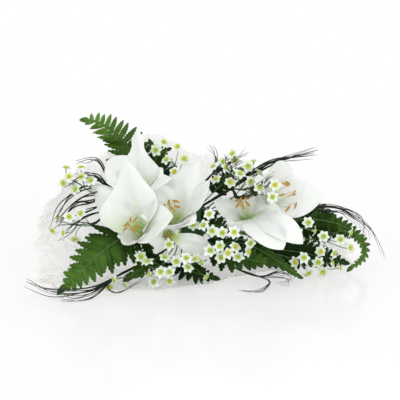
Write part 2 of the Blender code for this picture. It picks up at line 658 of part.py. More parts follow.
def make_stem(name, lily, parts, sockets):
    """The lily's stem, from the foam to just under the flower's base."""
    end = lily.base - lily.axis * (TEPAL_THICKNESS / 2 + GAP)
    route = from_foam([end - lily.axis * STEM_STRAIGHT, end - lily.axis * STEM_STRAIGHT / 2, end])
    path = [(p, LILY_STEM_RADIUS) for p in smooth_path(route, 2)]
    link_mesh(name + "_stem", tubes_mesh([path], name), parts, "lily_stem")
    sockets.append(((route[0] - FOAM_CENTRE).normalized(), LILY_STEM_RADIUS))


# ---------------------------------------------------------------- fern, star flowers and bear grass

def make_fern(name, spec, parts, sockets):
    """A frond: a flat stalk and midrib with pairs of pointed leaflets, widest near the blade's foot."""
    route, facing, half_width, pairs, bare = spec
    blade_rows = 2 * pairs + 1
    fine = even_path(from_foam(route), 200)
    split = round(bare * len(fine))
    path = even_path(fine[:split + 1], FERN_STALK_ROWS + 1)[:-1] + even_path(fine[split:], blade_rows)
    facing = Vector(facing).normalized()
    bm = bmesh.new()
    rows = []
    sides = []
    for i, (place, along) in enumerate(zip(path, tangents(path))):
        side = along.cross(across(along, facing)).normalized()
        reach = max(0.0, (i - FERN_STALK_ROWS) / (blade_rows - 1))
        half = FERN_STALK_WIDTH / 2 * (1 - FERN_STALK_TAPER * reach)
        rows.append([bm.verts.new(place - side * half), bm.verts.new(place + side * half)])
        sides.append((side, along, across(along, facing)))
    join_rings(bm, rows, closed=False)
    for pair in range(pairs):
        i = FERN_STALK_ROWS + 2 * pair
        reach = (pair + 0.5) / pairs
        size = half_width * min(1.0, 0.72 + 1.6 * reach) * (1 - reach) ** 0.75 + LEAFLET_SHORTEST
        spacing = (path[i + 1] - path[i]).length
        for column, sign in ((0, -1), (1, 1)):
            side, along, face = sides[i]
            near, far = rows[i][column], rows[i + 1][column]
            out = (side * sign + along * LEAFLET_FORWARD - face * LEAFLET_DROOP).normalized()
            belly_near = bm.verts.new(near.co + out * size * LEAFLET_BELLY - along * spacing * 0.10)
            belly_far = bm.verts.new(far.co + out * size * LEAFLET_BELLY + along * spacing * 0.30)
            tip = bm.verts.new(far.co + out * size)
            bm.faces.new((near, far, belly_far, belly_near))
            bm.faces.new((belly_near, belly_far, tip))
    bmesh.ops.recalc_face_normals(bm, faces=bm.faces)
    obj = link_mesh(name, mesh_from(bm, name), parts, "fern_leaf")
    solidify(obj, FERN_THICKNESS, 0)
    sockets.append(((path[0] - FOAM_CENTRE).normalized(), FERN_STALK_WIDTH / 2 + 0.1))


def add_star(bm, foot, flower, facing):
    """A flower and its stalk in one: a three-sided stalk that widens into a five-pointed star."""
    throat_centre = flower - facing * STAR_DEPTH
    turn = across(facing, Vector((0.3, 0.2, 1)))
    rings = []
    for place, along in ((foot, (throat_centre - foot).normalized()), (throat_centre, facing)):
        u = across(along, turn)
        v = along.cross(u)
        angles = [2 * math.pi * k / 3 for k in range(3)]
        rings.append([bm.verts.new(place + (u * math.cos(a) + v * math.sin(a)) * PEDICEL_RADIUS)
                      for a in angles])
    join_rings(bm, rings, closed=True)
    u = across(facing, turn)
    v = facing.cross(u)
    star = []
    for k in range(10):
        radius = STAR_NOTCH if k % 2 else STAR_RADIUS
        angle = 2 * math.pi * k / 10
        star.append(bm.verts.new(flower + (u * math.cos(angle) + v * math.sin(angle)) * radius))
    throat = rings[-1]
    owner = [round(k * 3 / 10) % 3 for k in range(11)]
    for k in range(10):
        bm.faces.new((throat[owner[k]], star[k], star[(k + 1) % 10]))
        if owner[k] != owner[k + 1]:
            bm.faces.new((throat[owner[k]], star[(k + 1) % 10], throat[owner[k + 1]]))
    bm.faces.new(star)
    bm.faces.new(rings[0])


def nearest_foot(stem, flower):
    """Where on the stem a flower's stalk starts: about one reach behind it, leaning forward."""
    best = None
    ways = tangents(stem)
    for place, along in list(zip(stem, ways))[len(stem) // 2:-1]:
        gap = flower - place
        cost = abs(gap.length - PEDICEL_REACH) / PEDICEL_REACH + (1 - gap.normalized().dot(along))
        if best is None or cost < best[0]:
            best = (cost, place)
    return best[1]


def make_spray(name, spec, parts, cutters, sockets):
    """A spray: one thin stem, with a stalk to each star flower joined to it."""
    route, flowers = spec
    stem = smooth_path(from_foam(route), 2)
    last = len(stem) - 1
    tube = [(p, SPRAY_STEM_RADIUS * (1 - SPRAY_STEM_TAPER * i / last)) for i, p in enumerate(stem)]
    obj = link_mesh(name, tubes_mesh([tube], name), parts, "star_flower")
    feet = smooth_path(stem, 2)
    bm = bmesh.new()
    for flower in flowers:
        flower = Vector(flower)
        foot = nearest_foot(feet, flower)
        facing = ((flower - foot).normalized() + STAR_TURN).normalized()
        add_star(bm, foot, flower, facing)
    bmesh.ops.recalc_face_normals(bm, faces=bm.faces)
    heads = link_mesh(name + "_heads", mesh_from(bm, name), cutters, None)
    boolean(obj, heads, "UNION", use_self=True)
    sockets.append(((stem[0] - FOAM_CENTRE).normalized(), SPRAY_STEM_RADIUS))


def make_grass(name, spec, parts, cutters, sockets):
    """A bundle: one tied butt, with long thin strands fanning out of its end."""
    route, strands = spec
    butt = smooth_path(from_foam(route), 2)
    obj = link_mesh(name, tubes_mesh([[(p, BUTT_RADIUS) for p in butt]], name), parts, "bear_grass")
    along = tangents(butt)[-1]
    side = across(along, UP)
    other = along.cross(side)
    paths = []
    for k, strand in enumerate(strands):
        angle = 2 * math.pi * k / len(strands)
        spread = (side * math.cos(angle) + other * math.sin(angle)) * STRAND_ROOT
        root = butt[-1] - along * STRAND_BURIED + spread
        path = even_path([root, root + along * STRAND_STRAIGHT] + list(strand), STRAND_POINTS)
        last = len(path) - 1
        paths.append([(p, STRAND_RADIUS * (1 - STRAND_TAPER * i / last)) for i, p in enumerate(path)])
    helper = link_mesh(name + "_strands", tubes_mesh(paths, name), cutters, None)
    boolean(obj, helper, "UNION", use_self=True)
    sockets.append(((butt[0] - FOAM_CENTRE).normalized(), BUTT_RADIUS))


# ---------------------------------------------------------------- the bouquet

def clear_scene():
    """Remove whatever the file opened with."""
    for obj in list(bpy.data.objects):
        bpy.data.objects.remove(obj, do_unlink=True)


def new_collection(name):
    """A collection linked to the scene."""
    made = bpy.data.collections.new(name)
    bpy.context.scene.collection.children.link(made)
    return made


def main():
    """Build the whole bouquet."""
    clear_scene()
    parts = new_collection("bridal_bouquet")
    cutters = new_collection("cutters")
    sockets = []
    make_holder(parts)
    make_ribbon(parts)
    make_collar(parts, cutters)
    for name, spec in LILIES.items():
        lily = Lily(spec)
        make_stem(name, lily, parts, sockets)
        make_tepals(name, lily, parts)
        make_stamens(name, lily, parts, cutters)
    for name, spec in FERNS.items():
        make_fern(name, spec, parts, sockets)
    for name, spec in SPRAYS.items():
        make_spray(name, spec, parts, cutters, sockets)
    for name, spec in GRASS.items():
        make_grass(name, spec, parts, cutters, sockets)
    make_foam(parts, cutters, sockets)


main()
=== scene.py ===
"""The looks of the bridal bouquet: lilies, star flowers, fern and bear grass on a plant-fibre collar.

Sizes and places are millimetres until a piece's mesh is made. The frame's X runs to the tail of the
bouquet, -Y is the side that the flowers face, and the table is z = 0.
"""

import math
import random

import bpy
import numpy as np
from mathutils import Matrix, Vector


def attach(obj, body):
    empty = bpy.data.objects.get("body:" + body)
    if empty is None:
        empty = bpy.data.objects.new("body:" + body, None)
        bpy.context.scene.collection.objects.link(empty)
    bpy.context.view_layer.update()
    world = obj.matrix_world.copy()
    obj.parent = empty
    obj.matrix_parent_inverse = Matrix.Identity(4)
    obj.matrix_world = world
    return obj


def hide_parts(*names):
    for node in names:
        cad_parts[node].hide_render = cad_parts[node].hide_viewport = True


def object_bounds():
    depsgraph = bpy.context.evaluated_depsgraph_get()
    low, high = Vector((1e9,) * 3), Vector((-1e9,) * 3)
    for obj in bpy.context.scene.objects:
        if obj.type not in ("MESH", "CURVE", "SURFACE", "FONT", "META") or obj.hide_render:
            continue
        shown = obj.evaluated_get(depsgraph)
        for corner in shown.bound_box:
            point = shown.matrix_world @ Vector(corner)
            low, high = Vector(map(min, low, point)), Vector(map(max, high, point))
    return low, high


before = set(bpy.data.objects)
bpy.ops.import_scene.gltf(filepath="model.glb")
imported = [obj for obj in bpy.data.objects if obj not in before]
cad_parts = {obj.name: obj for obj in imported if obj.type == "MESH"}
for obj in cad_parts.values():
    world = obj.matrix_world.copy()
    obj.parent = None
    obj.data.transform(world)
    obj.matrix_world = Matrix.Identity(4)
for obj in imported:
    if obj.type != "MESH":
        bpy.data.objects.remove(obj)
CAD_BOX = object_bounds()

MM = 0.001
TABLE_GAP, TABLE_CLEAR = 0.2, 1.5    # parts that would sink into the table rest between these heights
EDGE_THINNING = 0.6                  # of a thin shell's thickness, towards its long edges
UP = Vector((0, 0, 1))
SLANTED = Vector((0.31, 0.17, 0.94))   # where the first point of a round shape's rings lies
ROOT = "root"
VALUES = ("along", "across", "outer", "tint")   # values that each point may carry for its material
WHITE = (1, 1, 1, 1)
# Material slots of the pieces that have several, after their stalk's, which is 0
POLLEN = 1
LEAF = 1
PETAL, CUP = 1, 2

# Places shared with the part's solids
FOAM_CENTRE = Vector((-35, 0, 75))
FOAM_RADIUS = 36
STEM_DEPTH = 14
STRAIGHT_START = 7
HANDLE_TILT = math.radians(24.5)
HANDLE_AXIS = Vector((0, math.cos(HANDLE_TILT), -math.sin(HANDLE_TILT)))
HANDLE_RADIUS = 10.9
RIBBON_START, RIBBON_END = 58, 150

# The band of ribbon round the handle
RIBBON_ROWS, RIBBON_SIDES = 190, 72
RIBBON_PITCH = 17.0
RIBBON_INNER, RIBBON_OUTER = 0.1, 0.35   # heights of the band's two faces over the handle
RIBBON_STEP = 0.75                       # how far the edge of each turn stands up from the last one

# The fibre collar: it lies on the table up to its fold, and rises from there to its top edge
COLLAR_STATIONS = (
    # x, front edge y, fold y, top edge y, top edge z
    (-250, -62, -44, -34, 112),
    (-222, -74, -34, -14, 132),
    (-190, -84, -20, 12, 146),
    (-150, -98, -4, 34, 172),
    (-110, -104, 10, 48, 196),
    (-70, -106, 18, 54, 186),
    (-35, -96, 20, 54, 168),
    (5, -76, 20, 52, 160),
    (50, -40, 20, 48, 150),
    (95, -12, 20, 44, 134),
    (140, 0, 22, 40, 114),
    (180, 4, 22, 36, 84),
    (212, 6, 20, 28, 44),
)
COLLAR_COLUMNS, FLOOR_ROWS, RISE_ROWS = 210, 34, 70
COLLAR_HOLE_RADIUS = 9.65
COLLAR_LIFT = 1.2              # over the table
THREADS = 420                  # loose fibres on the sheet
THREAD_STEP = 1.3              # in rows and columns of the sheet's grid
THREAD_FLOOR = 0.3             # the lowest that they lie
FRINGE = 160                   # loose fibres at the sheet's ends
FRINGE_START = 6               # columns in from the end

# Each lily: its base, its axis, the length of the bell's wall, the wall's angle to the axis at the mouth,
# and its stamens: their reach as a share of the wall, how wide they spread, and the anthers' size.
# Each tepal: azimuth from the flower's upper side, clockwise as seen from the front, length, width, the
# tip's angle to the axis, twist of the tip, backward curl of the edges, and taper from 0, round, to 1,
# straight-sided, and past 1, drawn out to a long tip.
LILIES = {
    "lily_1": {
        "base": (-86, -58, 61), "axis": (-0.42, -0.66, 0.62),
        "bell": 48, "mouth": 46, "stamens": (1.2, 8, 1),
        "tepals": ((-12, 134, 116, 48, 0, 0, 1.35), (40, 86, 50, 55, 0, 0.3, 0.4),
                   (78, 112, 62, 75, 0, 0.4, 0.3), (150, 66, 60, 16, 0, 0, 0.2),
                   (228, 55, 40, 64, 0, 0.3, 0.2), (299, 128, 46, 94, 10, 0.6, 0.3)),
    },
    "lily_2": {
        "base": (-102, -8, 96), "axis": (-0.02, -0.4, 0.92),
        "bell": 44, "mouth": 40, "stamens": (0.95, 8, 1),
        "tepals": ((-3, 121, 86, 37, 24, 0.1, 2.1), (68, 74, 76, 46, 0, 0.2, 0.4),
                   (110, 90, 50, 66, 0, 0.4, 0.3), (180, 80, 40, 40, 0, 0.4, 0.3),
                   (238, 84, 46, 60, 0, 0.5, 0.3), (293, 87, 74, 42, 0, 0, -0.6)),
    },
    "lily_3": {
        "base": (-46, -47, 64), "axis": (-0.14, -0.5, 0.86),
        "bell": 48, "mouth": 40, "stamens": (1.35, 10, 1),
        "tepals": ((29, 121, 86, 46, 0, 0.1, 0.7), (60, 108, 54, 50, 0, 0.3, 0.2),
                   (124, 86, 50, 80, 0, 0.5, 0.3), (143, 82, 54, 55, 0, 0.2, 0.3),
                   (236, 80, 46, 60, 0, 0.5, 0.3), (326, 82, 54, 39, 0, 0.3, 0.2)),
    },
    "lily_4": {
        "base": (58, -38, 76), "axis": (-0.22, -0.5, 0.84),
        "bell": 36, "mouth": 50, "stamens": (1.55, 7, 1),
        "tepals": ((-4, 52, 40, 102, 0, 0.3, 0.2), (98, 84, 44, 84, 0, 0.3, 0.1),
                   (118, 145, 42, 115, 0, 0.1, -0.4), (131, 134, 50, 111, 0, 0.2, -0.4),
                   (200, 58, 40, 60, 0, 0.4, 0.3), (263, 68, 42, 45, 0, 0.2, 0.2)),
    },
    "lily_5": {
        "base": (58, -24, 104), "axis": (0.74, -0.56, 0.38),
        "bell": 48, "mouth": 42, "stamens": (1.6, 18, 1),
        "tepals": ((-3, 91, 84, 42, 0, 0, -0.5), (81, 90, 60, 48, 0, 0.3, 0.2),
                   (107, 112, 62, 50, 0, 0.2, 0.3), (142, 73, 62, 30, 0, 0.2, -0.3),
                   (235, 70, 46, 40, 0, 0.3, 0.3), (300, 66, 44, 40, 0, 0.3, 0.3)),
    },
    "lily_6": {
        "base": (-60, -78, 78), "axis": (0.25, -0.85, 0.1),
        "bell": 14, "mouth": 50, "stamens": (0.8, 3, 0.4),
        "tepals": ((114, 67, 31, 110, -14, 0.3, -0.8), (60, 22, 14, 30, 0, 0.2, 0.3),
                   (20, 22, 14, 30, 0, 0.2, 0.3), (254, 37, 32, 120, 0, 0.9, 0.0),
                   (320, 22, 14, 30, 0, 0.2, 0.3), (285, 22, 14, 30, 0, 0.2, 0.3)),
    },
}
BELL_RADIUS = 4.2
BELL_FOOT = math.radians(9)
TEPAL_ROWS, TEPAL_COLUMNS = 34, 17
TEPAL_THICKNESS = 0.55
INNER_GAP, PAIR_GAP = 0.9, 0.7             # between one tepal and the next, and between pairs of them
RUFFLE, CREASE, SWAY = 0.085, 0.16, 0.07   # heights as shares of a tepal's half width
KEEL = 0.9                                 # depth of the groove along a tepal's middle
KEEL_WIDTH, CREASE_WIDTH = 0.11, 0.22      # shares of the half width
STEM_STRAIGHT = 16
LILY_STEM_RADIUS = 3.0
STEM_SWELL = 0.12              # of the radius, at the flower
FILAMENT_POINTS = 12
FILAMENT_FOOT = 1.5            # its first point's radius and height in the flower
ANTHER_LENGTH = 12
ANTHER_RADII = (0.3, 1.1, 1.5, 1.65, 1.7, 1.6, 1.4, 1.0, 0.3)
PISTIL_EXTRA = 0.12            # of the wall, past the stamens
STYLE_RADII = (1.5, 1.3, 1.1, 1.0, 0.9, 0.9, 0.9, 1.0, 1.1, 1.2)
STYLE_BOW = 2.5
# Profiles of turned shapes: radius and height of each point
LILY_FOOT = ((0.2, 0.0), (2.6, 0.1), (4.0, 0.6), (4.3, 2.0), (4.0, 2.4), (0.2, 2.2))
STIGMA_LOBE = ((0.3, -1.2), (1.2, -0.8), (1.6, 0.1), (1.2, 1.0), (0.3, 1.3))

# Ferns: route of the midrib from the foam, blade's facing side, half width, pairs of pinnae, the part of
# the route that is bare stalk, a pinna's half width over the space between two, and the tint from 0, dark
# The tint is partly the frond's own green and partly painted shade, lowest for the fronds deep in the bouquet
FERNS = {
    "fern_frond_1": (
        ((-82, 16, 110), (-104, 24, 150), (-122, 26, 184), (-143, 24, 206), (-166, 18, 220),
         (-180, 14, 223)),
        (0.1, -1.0, 0.1), 43, 14, 0.32, 0.56, 0.38),
    "fern_frond_2": (
        ((-94, -40, 66), (-116, -74, 74), (-146, -99, 61), (-178, -115, 34), (-204, -122, 12)),
        (-0.3, -0.8, 0.5), 57, 14, 0.18, 0.66, 0.28),
    "fern_frond_3": (
        ((-54, 24, 114), (-66, 32, 140), (-78, 36, 164), (-86, 38, 182)),
        (0.0, -1.0, 0.2), 22, 7, 0.42, 0.56, 0.2),
    "fern_frond_4": (
        ((-2, -44, 56), (30, -70, 44), (56, -80, 40), (84, -84, 36)),
        (0.0, -1.0, 0.25), 32, 8, 0.26, 0.62, 0.14),
    "fern_frond_5": (
        ((10, -14, 54), (62, -50, 50), (98, -68, 34), (130, -74, 12)),
        (0.2, -0.9, 0.4), 12, 15, 0.38, 0.95, 0.2),
    "fern_frond_6": (
        ((50, -2, 80), (128, -6, 79), (172, -10, 77), (205, -13, 66), (229, -15, 43), (228, -18, 22),
         (208, -22, 6)),
        (0.1, -1.0, 0.2), 15, 21, 0.42, 0.54, 0.32),
    "fern_frond_7": (
        ((40, 4, 72), (96, 2, 68), (150, -4, 62), (214, -10, 54)),
        (0.0, -1.0, -0.1), 40, 17, 0.32, 0.6, 0.04),
    "fern_frond_8": (
        ((16, 26, 98), (70, 30, 106), (124, 25, 100), (166, 18, 88), (193, 12, 68)),
        (0.0, -1.0, 0.3), 22, 13, 0.38, 0.56, 0.14),
    "fern_frond_9": (
        ((-64, -46, 42), (-84, -74, 32), (-98, -88, 28), (-110, -96, 22)),
        (-0.2, -0.9, 0.3), 24, 5, 0.42, 0.6, 0.14),
    "fern_frond_10": (
        ((30, -4, 40), (90, -16, 36), (140, -22, 31), (200, -28, 18)),
        (0.0, -1.0, 0.15), 38, 16, 0.34, 0.62, 0.03),
    "fern_frond_11": (
        ((-40, -34, 34), (-37, -60, 27), (-21, -78, 20), (6, -88, 16)),
        (0.0, -0.8, 0.6), 26, 8, 0.3, 0.64, 0.04),
    "fern_frond_12": (
        ((-14, -34, 78), (-4, -50, 84), (10, -58, 84), (24, -62, 80)),
        (0.0, -1.0, 0.1), 26, 8, 0.36, 0.62, 0.04),
    "fern_frond_13": (
        ((0, -6, 112), (16, -4, 128), (32, -2, 142), (48, 0, 152)),
        (0.0, -1.0, 0.1), 18, 8, 0.4, 0.58, 0.12),
    "fern_frond_14": (
        ((-58, 12, 112), (-72, 16, 136), (-80, 18, 156), (-74, 18, 170), (-60, 18, 178)),
        (0.0, -1.0, 0.1), 19, 9, 0.4, 0.56, 0.12),
}
FROND_POINTS = 80
MIDRIB_RADIUS = 1.15
PINNA_TEETH = 7
PINNA_ROWS, PINNA_COLUMNS = 3 * PINNA_TEETH + 1, 7
PINNA_LEAN, PINNA_LEAN_GAIN = 0.32, 0.25   # towards the tip: at the blade's foot, and more at its end
PINNA_CROWDING = 0.80          # below 1 the pinnae stand closer towards the tip
PINNA_OVERLAP = 1.6            # how far a pinna starts on the midrib's other side
PINNA_THICKNESS = 0.35
# Differences between a frond's two sides, added on one and taken off on the other: in how far the pinnae
# lean to the tip, and in their length as a share
PINNA_SKEWS = {"fern_frond_1": 0.30}
PINNA_SIDES = {"fern_frond_1": -0.08, "fern_frond_2": 0.08}

# Star-flower sprays: route of the stem from the foam, then the flowers' centres
SPRAYS = {
    "star_spray_1": (
        ((-82, -16, 62), (-128, -20, 88), (-164, -34, 122), (-182, -42, 138)),
        ((-204, -38, 164), (-182, -46, 166), (-168, -50, 148), (-190, -54, 136), (-207, -50, 144),
         (-198, -56, 155), (-181, -54, 154))),
    "star_spray_2": (
        ((-78, -18, 50), (-130, -44, 72), (-170, -60, 86), (-190, -66, 86)),
        ((-215, -58, 96), (-198, -70, 100), (-181, -74, 106), (-222, -70, 80), (-206, -76, 78),
         (-190, -78, 70))),
    "star_spray_3": (
        ((-40, 14, 116), (-44, 12, 138), (-52, 12, 160)),
        ((-66, 14, 190), (-46, 10, 184), (-78, 14, 178), (-36, 2, 168), (-62, 4, 166), (-22, 14, 138),
         (-50, -6, 150))),
    "star_spray_4": (
        ((-20, -4, 116), (6, -8, 132), (26, -12, 146)),
        ((20, -10, 166), (38, -4, 168), (48, -12, 158), (24, -20, 159), (10, -34, 146), (30, -44, 144),
         (6, -22, 162), (56, -30, 164), (38, -34, 154), (34, -10, 178))),
    "star_spray_5": (
        ((6, -24, 100), (32, -38, 118), (48, -46, 138)),
        ((64, -24, 170), (72, -34, 156), (44, -50, 158), (58, -56, 148), (70, -74, 144), (90, -100, 154),
         (87, -96, 136))),
    "star_spray_6": (
        ((-14, -40, 84), (-8, -62, 88), (0, -84, 88)),
        ((0, -106, 114), (-8, -106, 98), (-22, -94, 95), (4, -106, 90), (18, -108, 88), (34, -112, 90))),
    "star_spray_7": (
        ((-6, -36, 66), (10, -62, 66), (24, -86, 62)),
        ((14, -112, 70), (36, -110, 68), (54, -112, 62), (16, -102, 50), (56, -124, 78), (40, -104, 52),
         (1, -108, 62), (26, -114, 60))),
    "star_spray_8": (
        ((-50, -46, 36), (-60, -66, 33), (-70, -86, 30)),
        ((-96, -98, 50), (-86, -108, 46), (-84, -104, 26), (-68, -112, 32), (-78, -98, 12),
         (-56, -98, 14), (-56, -116, 34), (-62, -114, 54), (-56, -112, 72))),
    "star_spray_9": (
        ((-31, -48, 42), (-28, -66, 32), (-28, -86, 30)),
        ((-46, -110, 47), (-32, -117, 54), (-20, -112, 52), (-30, -110, 38), (-10, -106, 44),
         (-4, -92, 18))),
    "star_spray_10": (
        ((-56, -40, 38), (-80, -66, 20), (-106, -88, 14)),
        ((-132, -122, 24), (-118, -108, 12), (-140, -106, 8))),
    "star_spray_11": (
        ((20, -16, 82), (70, -24, 84), (110, -32, 84)),
        ((108, -56, 92), (142, -54, 87), (126, -58, 74), (152, -46, 72))),
    "star_spray_12": (
        ((20, -4, 60), (80, -14, 56), (136, -24, 54), (176, -28, 50)),
        ((166, -40, 62), (191, -36, 56), (206, -34, 66), (206, -38, 44), (162, -42, 40), (182, -44, 38))),
    "star_spray_13": (
        ((10, -22, 52), (60, -28, 42), (110, -34, 30), (150, -36, 20)),
        ((137, -54, 34), (124, -50, 26), (158, -50, 26), (144, -50, 9), (180, -40, 22), (166, -46, 10),
         (192, -34, 12))),
}
SPRAY_STEM_RADIUS = 1.1
PEDICEL_RADIUS = 0.55
PEDICEL_REACH = 24
PEDICEL_POINTS = 9
STAR_RADIUS = 9.6
STAR_DEPTH = 4
STAR_TURN = Vector((0, -0.9, 0.4))   # the way that the flowers tend to face
STAR_NOD = 1.1                       # how far chance may turn each from it
PETAL_ROWS, PETAL_COLUMNS = 9, 5
PETAL_START = 1.2                    # from the flower's middle
PETAL_HALF_WIDTH = 3.6
PETAL_THICKNESS = 0.35
# Profiles, as above
STAR_TUBE = ((0.5, -0.4), (1.1, 0.4), (1.3, 1.6), (1.5, 2.8), (2.3, 3.7), (1.2, 3.9))
STAR_CUP = ((1.8, -0.8), (2.8, 0.2), (3.4, 1.3), (3.6, 2.2), (3.25, 2.3), (2.5, 1.1), (1.3, 0.5), (0.1, 0.7))
STAR_STAMEN = ((0.1, 0.3), (0.55, 0.8), (0.6, 1.5), (0.1, 2.0))

# Bear-grass bundles: route of the tied butt from the foam, then the strands' own routes
GRASS = {
    "grass_bundle_1": (
        ((-64, -28, 38), (-98, -64, 28), (-130, -100, 22)),
        (((-164, -132, 17), (-218, -136, 12), (-257, -104, 19)),
         ((-162, -134, 13), (-214, -140, 10), (-254, -124, 22)),
         ((-160, -136, 10), (-194, -142, 8), (-216, -140, 22)),
         ((-156, -134, 6), (-184, -146, 1.2), (-204, -144, 1.2)),
         ((-142, -120, 12), (-124, -126, 8), (-94, -122, 26)))),
    "grass_bundle_2": (
        ((4, 8, 86), (60, 14, 89), (128, 10, 91)),
        (((177, 4, 96), (210, -6, 92), (227, -12, 75), (232, -18, 50)),
         ((184, 8, 86), (206, -1, 82), (227, -5, 64), (231, -8, 50)),
         ((188, 7, 93), (227, -14, 78), (241, -20, 62), (258, -26, 29)),
         ((172, 2, 88), (198, -8, 88), (214, -15, 80)))),
    "grass_bundle_3": (
        ((-8, -14, 102), (30, -26, 128)),
        (((58, -24, 150), (96, -22, 171), (150, -25, 190)),
         ((60, -23, 149), (98, -20, 170), (152, -19, 181)),
         ((58, -22, 151), (94, -22, 172), (152, -14, 176)),
         ((50, -36, 131), (70, -58, 143), (88, -76, 160)),
         ((42, -52, 124), (66, -72, 143), (89, -82, 163)),
         ((40, -50, 121), (70, -70, 138), (90, -80, 157)),
         ((38, -38, 148), (30, -38, 168), (24, -36, 184)))),
    "grass_bundle_4": (
        ((-76, 6, 92), (-110, -4, 108), (-136, -18, 120)),
        (((-148, -26, 148), (-158, -32, 170), (-172, -38, 176), (-190, -42, 170)),
         ((-150, -32, 140), (-160, -38, 152), (-176, -44, 158), (-188, -52, 150)),
         ((-152, -42, 120), (-170, -52, 115), (-190, -58, 112), (-207, -60, 97), (-214, -66, 84)),
         ((-160, -30, 130), (-180, -36, 131), (-200, -50, 121), (-214, -62, 104), (-217, -68, 86)),
         ((-150, -38, 112), (-172, -54, 104), (-194, -62, 98)),
         ((-150, -36, 138), (-166, -44, 153), (-184, -50, 154), (-200, -56, 140)),
         ((-146, -40, 126), (-170, -50, 128), (-194, -58, 116), (-212, -64, 96)),
         ((-150, -44, 104), (-176, -58, 96), (-198, -66, 82), (-208, -70, 64)),
         ((-142, -42, 110), (-160, -56, 90), (-186, -64, 86), (-214, -68, 92)))),
    "grass_bundle_5": (
        ((-14, -30, 46), (30, -58, 24), (70, -86, 17)),
        (((98, -98, 20), (114, -96, 13), (100, -92, 6)),
         ((94, -90, 24), (112, -84, 18), (122, -78, 10)),
         ((84, -98, 12), (70, -106, 1.6), (42, -108, 1.6)))),
    "grass_bundle_6": (
        ((-22, 22, 108), (4, 16, 140)),
        (((18, 10, 158), (28, 4, 172), (34, 0, 184)),
         ((10, 14, 160), (8, 10, 176), (0, 8, 188)),
         ((24, 14, 154), (44, 10, 168), (58, 6, 176)),
         ((16, 0, 150), (32, -10, 158), (50, -16, 170)),
         ((20, -4, 142), (42, -16, 149), (64, -20, 158)),
         ((10, 0, 146), (14, -8, 158), (12, -10, 172)))),
}
STRAND_POINTS = 42
STRAND_COPIES = 3
STRAND_RADIUS = 1.15
STRAND_WIDTHS = {"grass_bundle_3": 1.3, "grass_bundle_4": 1.5}   # times the others'

# The studio, in metres. Each lamp: its place, the side of its square and its power in watts.
LAMPS = {
    "key": ((-0.9, -1.1, 1.5), 1.2, 7),
    "fill": ((1.3, -1.0, 0.9), 1.4, 6),
    "front": ((0.1, -1.8, 0.30), 1.2, 6.5),
    "back": ((0.2, 1.3, 1.4), 1.2, 7),
}
LAMP_TARGET = (0, 0, 0.1)
WORLD_FILL = 0.75
FLOOR_HALF = 6
FLOOR_GLOW = 0.55              # of the floor by the object, up to 1 far from it
GLOW_START, GLOW_FULL = 0.30, 1.1   # distances from the object's middle
CAMERA_TARGET = Vector((-0.013, -0.025, 0.1126))
CAMERA_ELEVATION = math.radians(15)
CAMERA_DISTANCE = 1.611


# ---------------------------------------------------------------- curves and directions

def clamp(value, low=0.0, high=1.0):
    """The value, or the nearer end of the range that it is outside of."""
    return min(high, max(low, value))


def ease(low, high, value):
    """A smooth step from 0 at low to 1 at high."""
    share = clamp((value - low) / (high - low))
    return share * share * (3 - 2 * share)


def smooth_path(points, steps):
    """Points along a Catmull-Rom curve through the given ones, with that many steps for each span."""
    knots = [Vector(p) for p in points]
    ends = [2 * knots[0] - knots[1]] + knots + [2 * knots[-1] - knots[-2]]
    path = []
    for a, b, c, d in zip(ends, ends[1:], ends[2:], ends[3:]):
        for step in range(steps):
            t = step / steps
            path.append(0.5 * (2 * b + (c - a) * t + (2 * a - 5 * b + 4 * c - d) * t ** 2
                               + (3 * b - a - 3 * c + d) * t ** 3))
    path.append(knots[-1])
    return path


def even_path(points, count):
    """That many points, evenly spaced along the smooth path through the given ones."""
    fine = smooth_path(points, steps=12)
    lengths = [0.0]
    for a, b in zip(fine, fine[1:]):
        lengths.append(lengths[-1] + (b - a).length)
    path = []
    k = 0
    for i in range(count):
        target = lengths[-1] * i / (count - 1)
        while k < len(fine) - 2 and lengths[k + 1] < target:
            k += 1
        share = (target - lengths[k]) / (lengths[k + 1] - lengths[k])
        path.append(fine[k].lerp(fine[k + 1], min(share, 1.0)))
    return path


def from_foam(route):
    """The route with its cut end in the foam, straight until it is clear of the ball."""
    first = Vector(route[0])
    outward = (first - FOAM_CENTRE).normalized()
    start = [FOAM_CENTRE + outward * r for r in (FOAM_RADIUS - STEM_DEPTH, FOAM_RADIUS)]
    if (first - FOAM_CENTRE).length > FOAM_RADIUS + 2 * STRAIGHT_START:
        start.append(FOAM_CENTRE + outward * (FOAM_RADIUS + STRAIGHT_START))
    return start + [Vector(p) for p in route]


def tangents(path):
    """The unit direction of the path at each of its points."""
    last = len(path) - 1
    return [(path[min(i + 1, last)] - path[max(i - 1, 0)]).normalized() for i in range(len(path))]


def across(direction, reference):
    """The unit vector along the reference that is square to the direction."""
    square = reference - direction * reference.dot(direction)
    if square.length < 0.05:    # the reference is nearly parallel
        square = direction.orthogonal()
    return square.normalized()


def ring(centre, side, other, radii, flat=1.0):
    """Points evenly round a centre, each at its own radius, squeezed by flat along the other direction."""
    points = []
    for k, radius in enumerate(radii):
        angle = 2 * math.pi * k / len(radii)
        points.append(centre + (side * math.cos(angle) + other * math.sin(angle) * flat) * radius)
    return points


def evenly(count):
    """That many even shares from 0 to 1."""
    return [i / (count - 1) for i in range(count)]


def widths(count):
    """That many even places across a grid, from -1 to 1."""
    return [2 * j / (count - 1) - 1 for j in range(count)]


def shaken(rng, reach):
    """A random offset of up to that reach along each axis."""
    return Vector([rng.uniform(-reach, reach) for _ in range(3)])


# ---------------------------------------------------------------- meshes

def as_grid(rows):
    """Rows of points as an array."""
    return np.array([[tuple(point) for point in row] for row in rows])


def shares(rows, columns):
    """How far along and across a grid each of its points lies, as values for its material."""
    return {"along": np.array(evenly(rows))[:, None], "across": np.array(widths(columns))[None, :]}


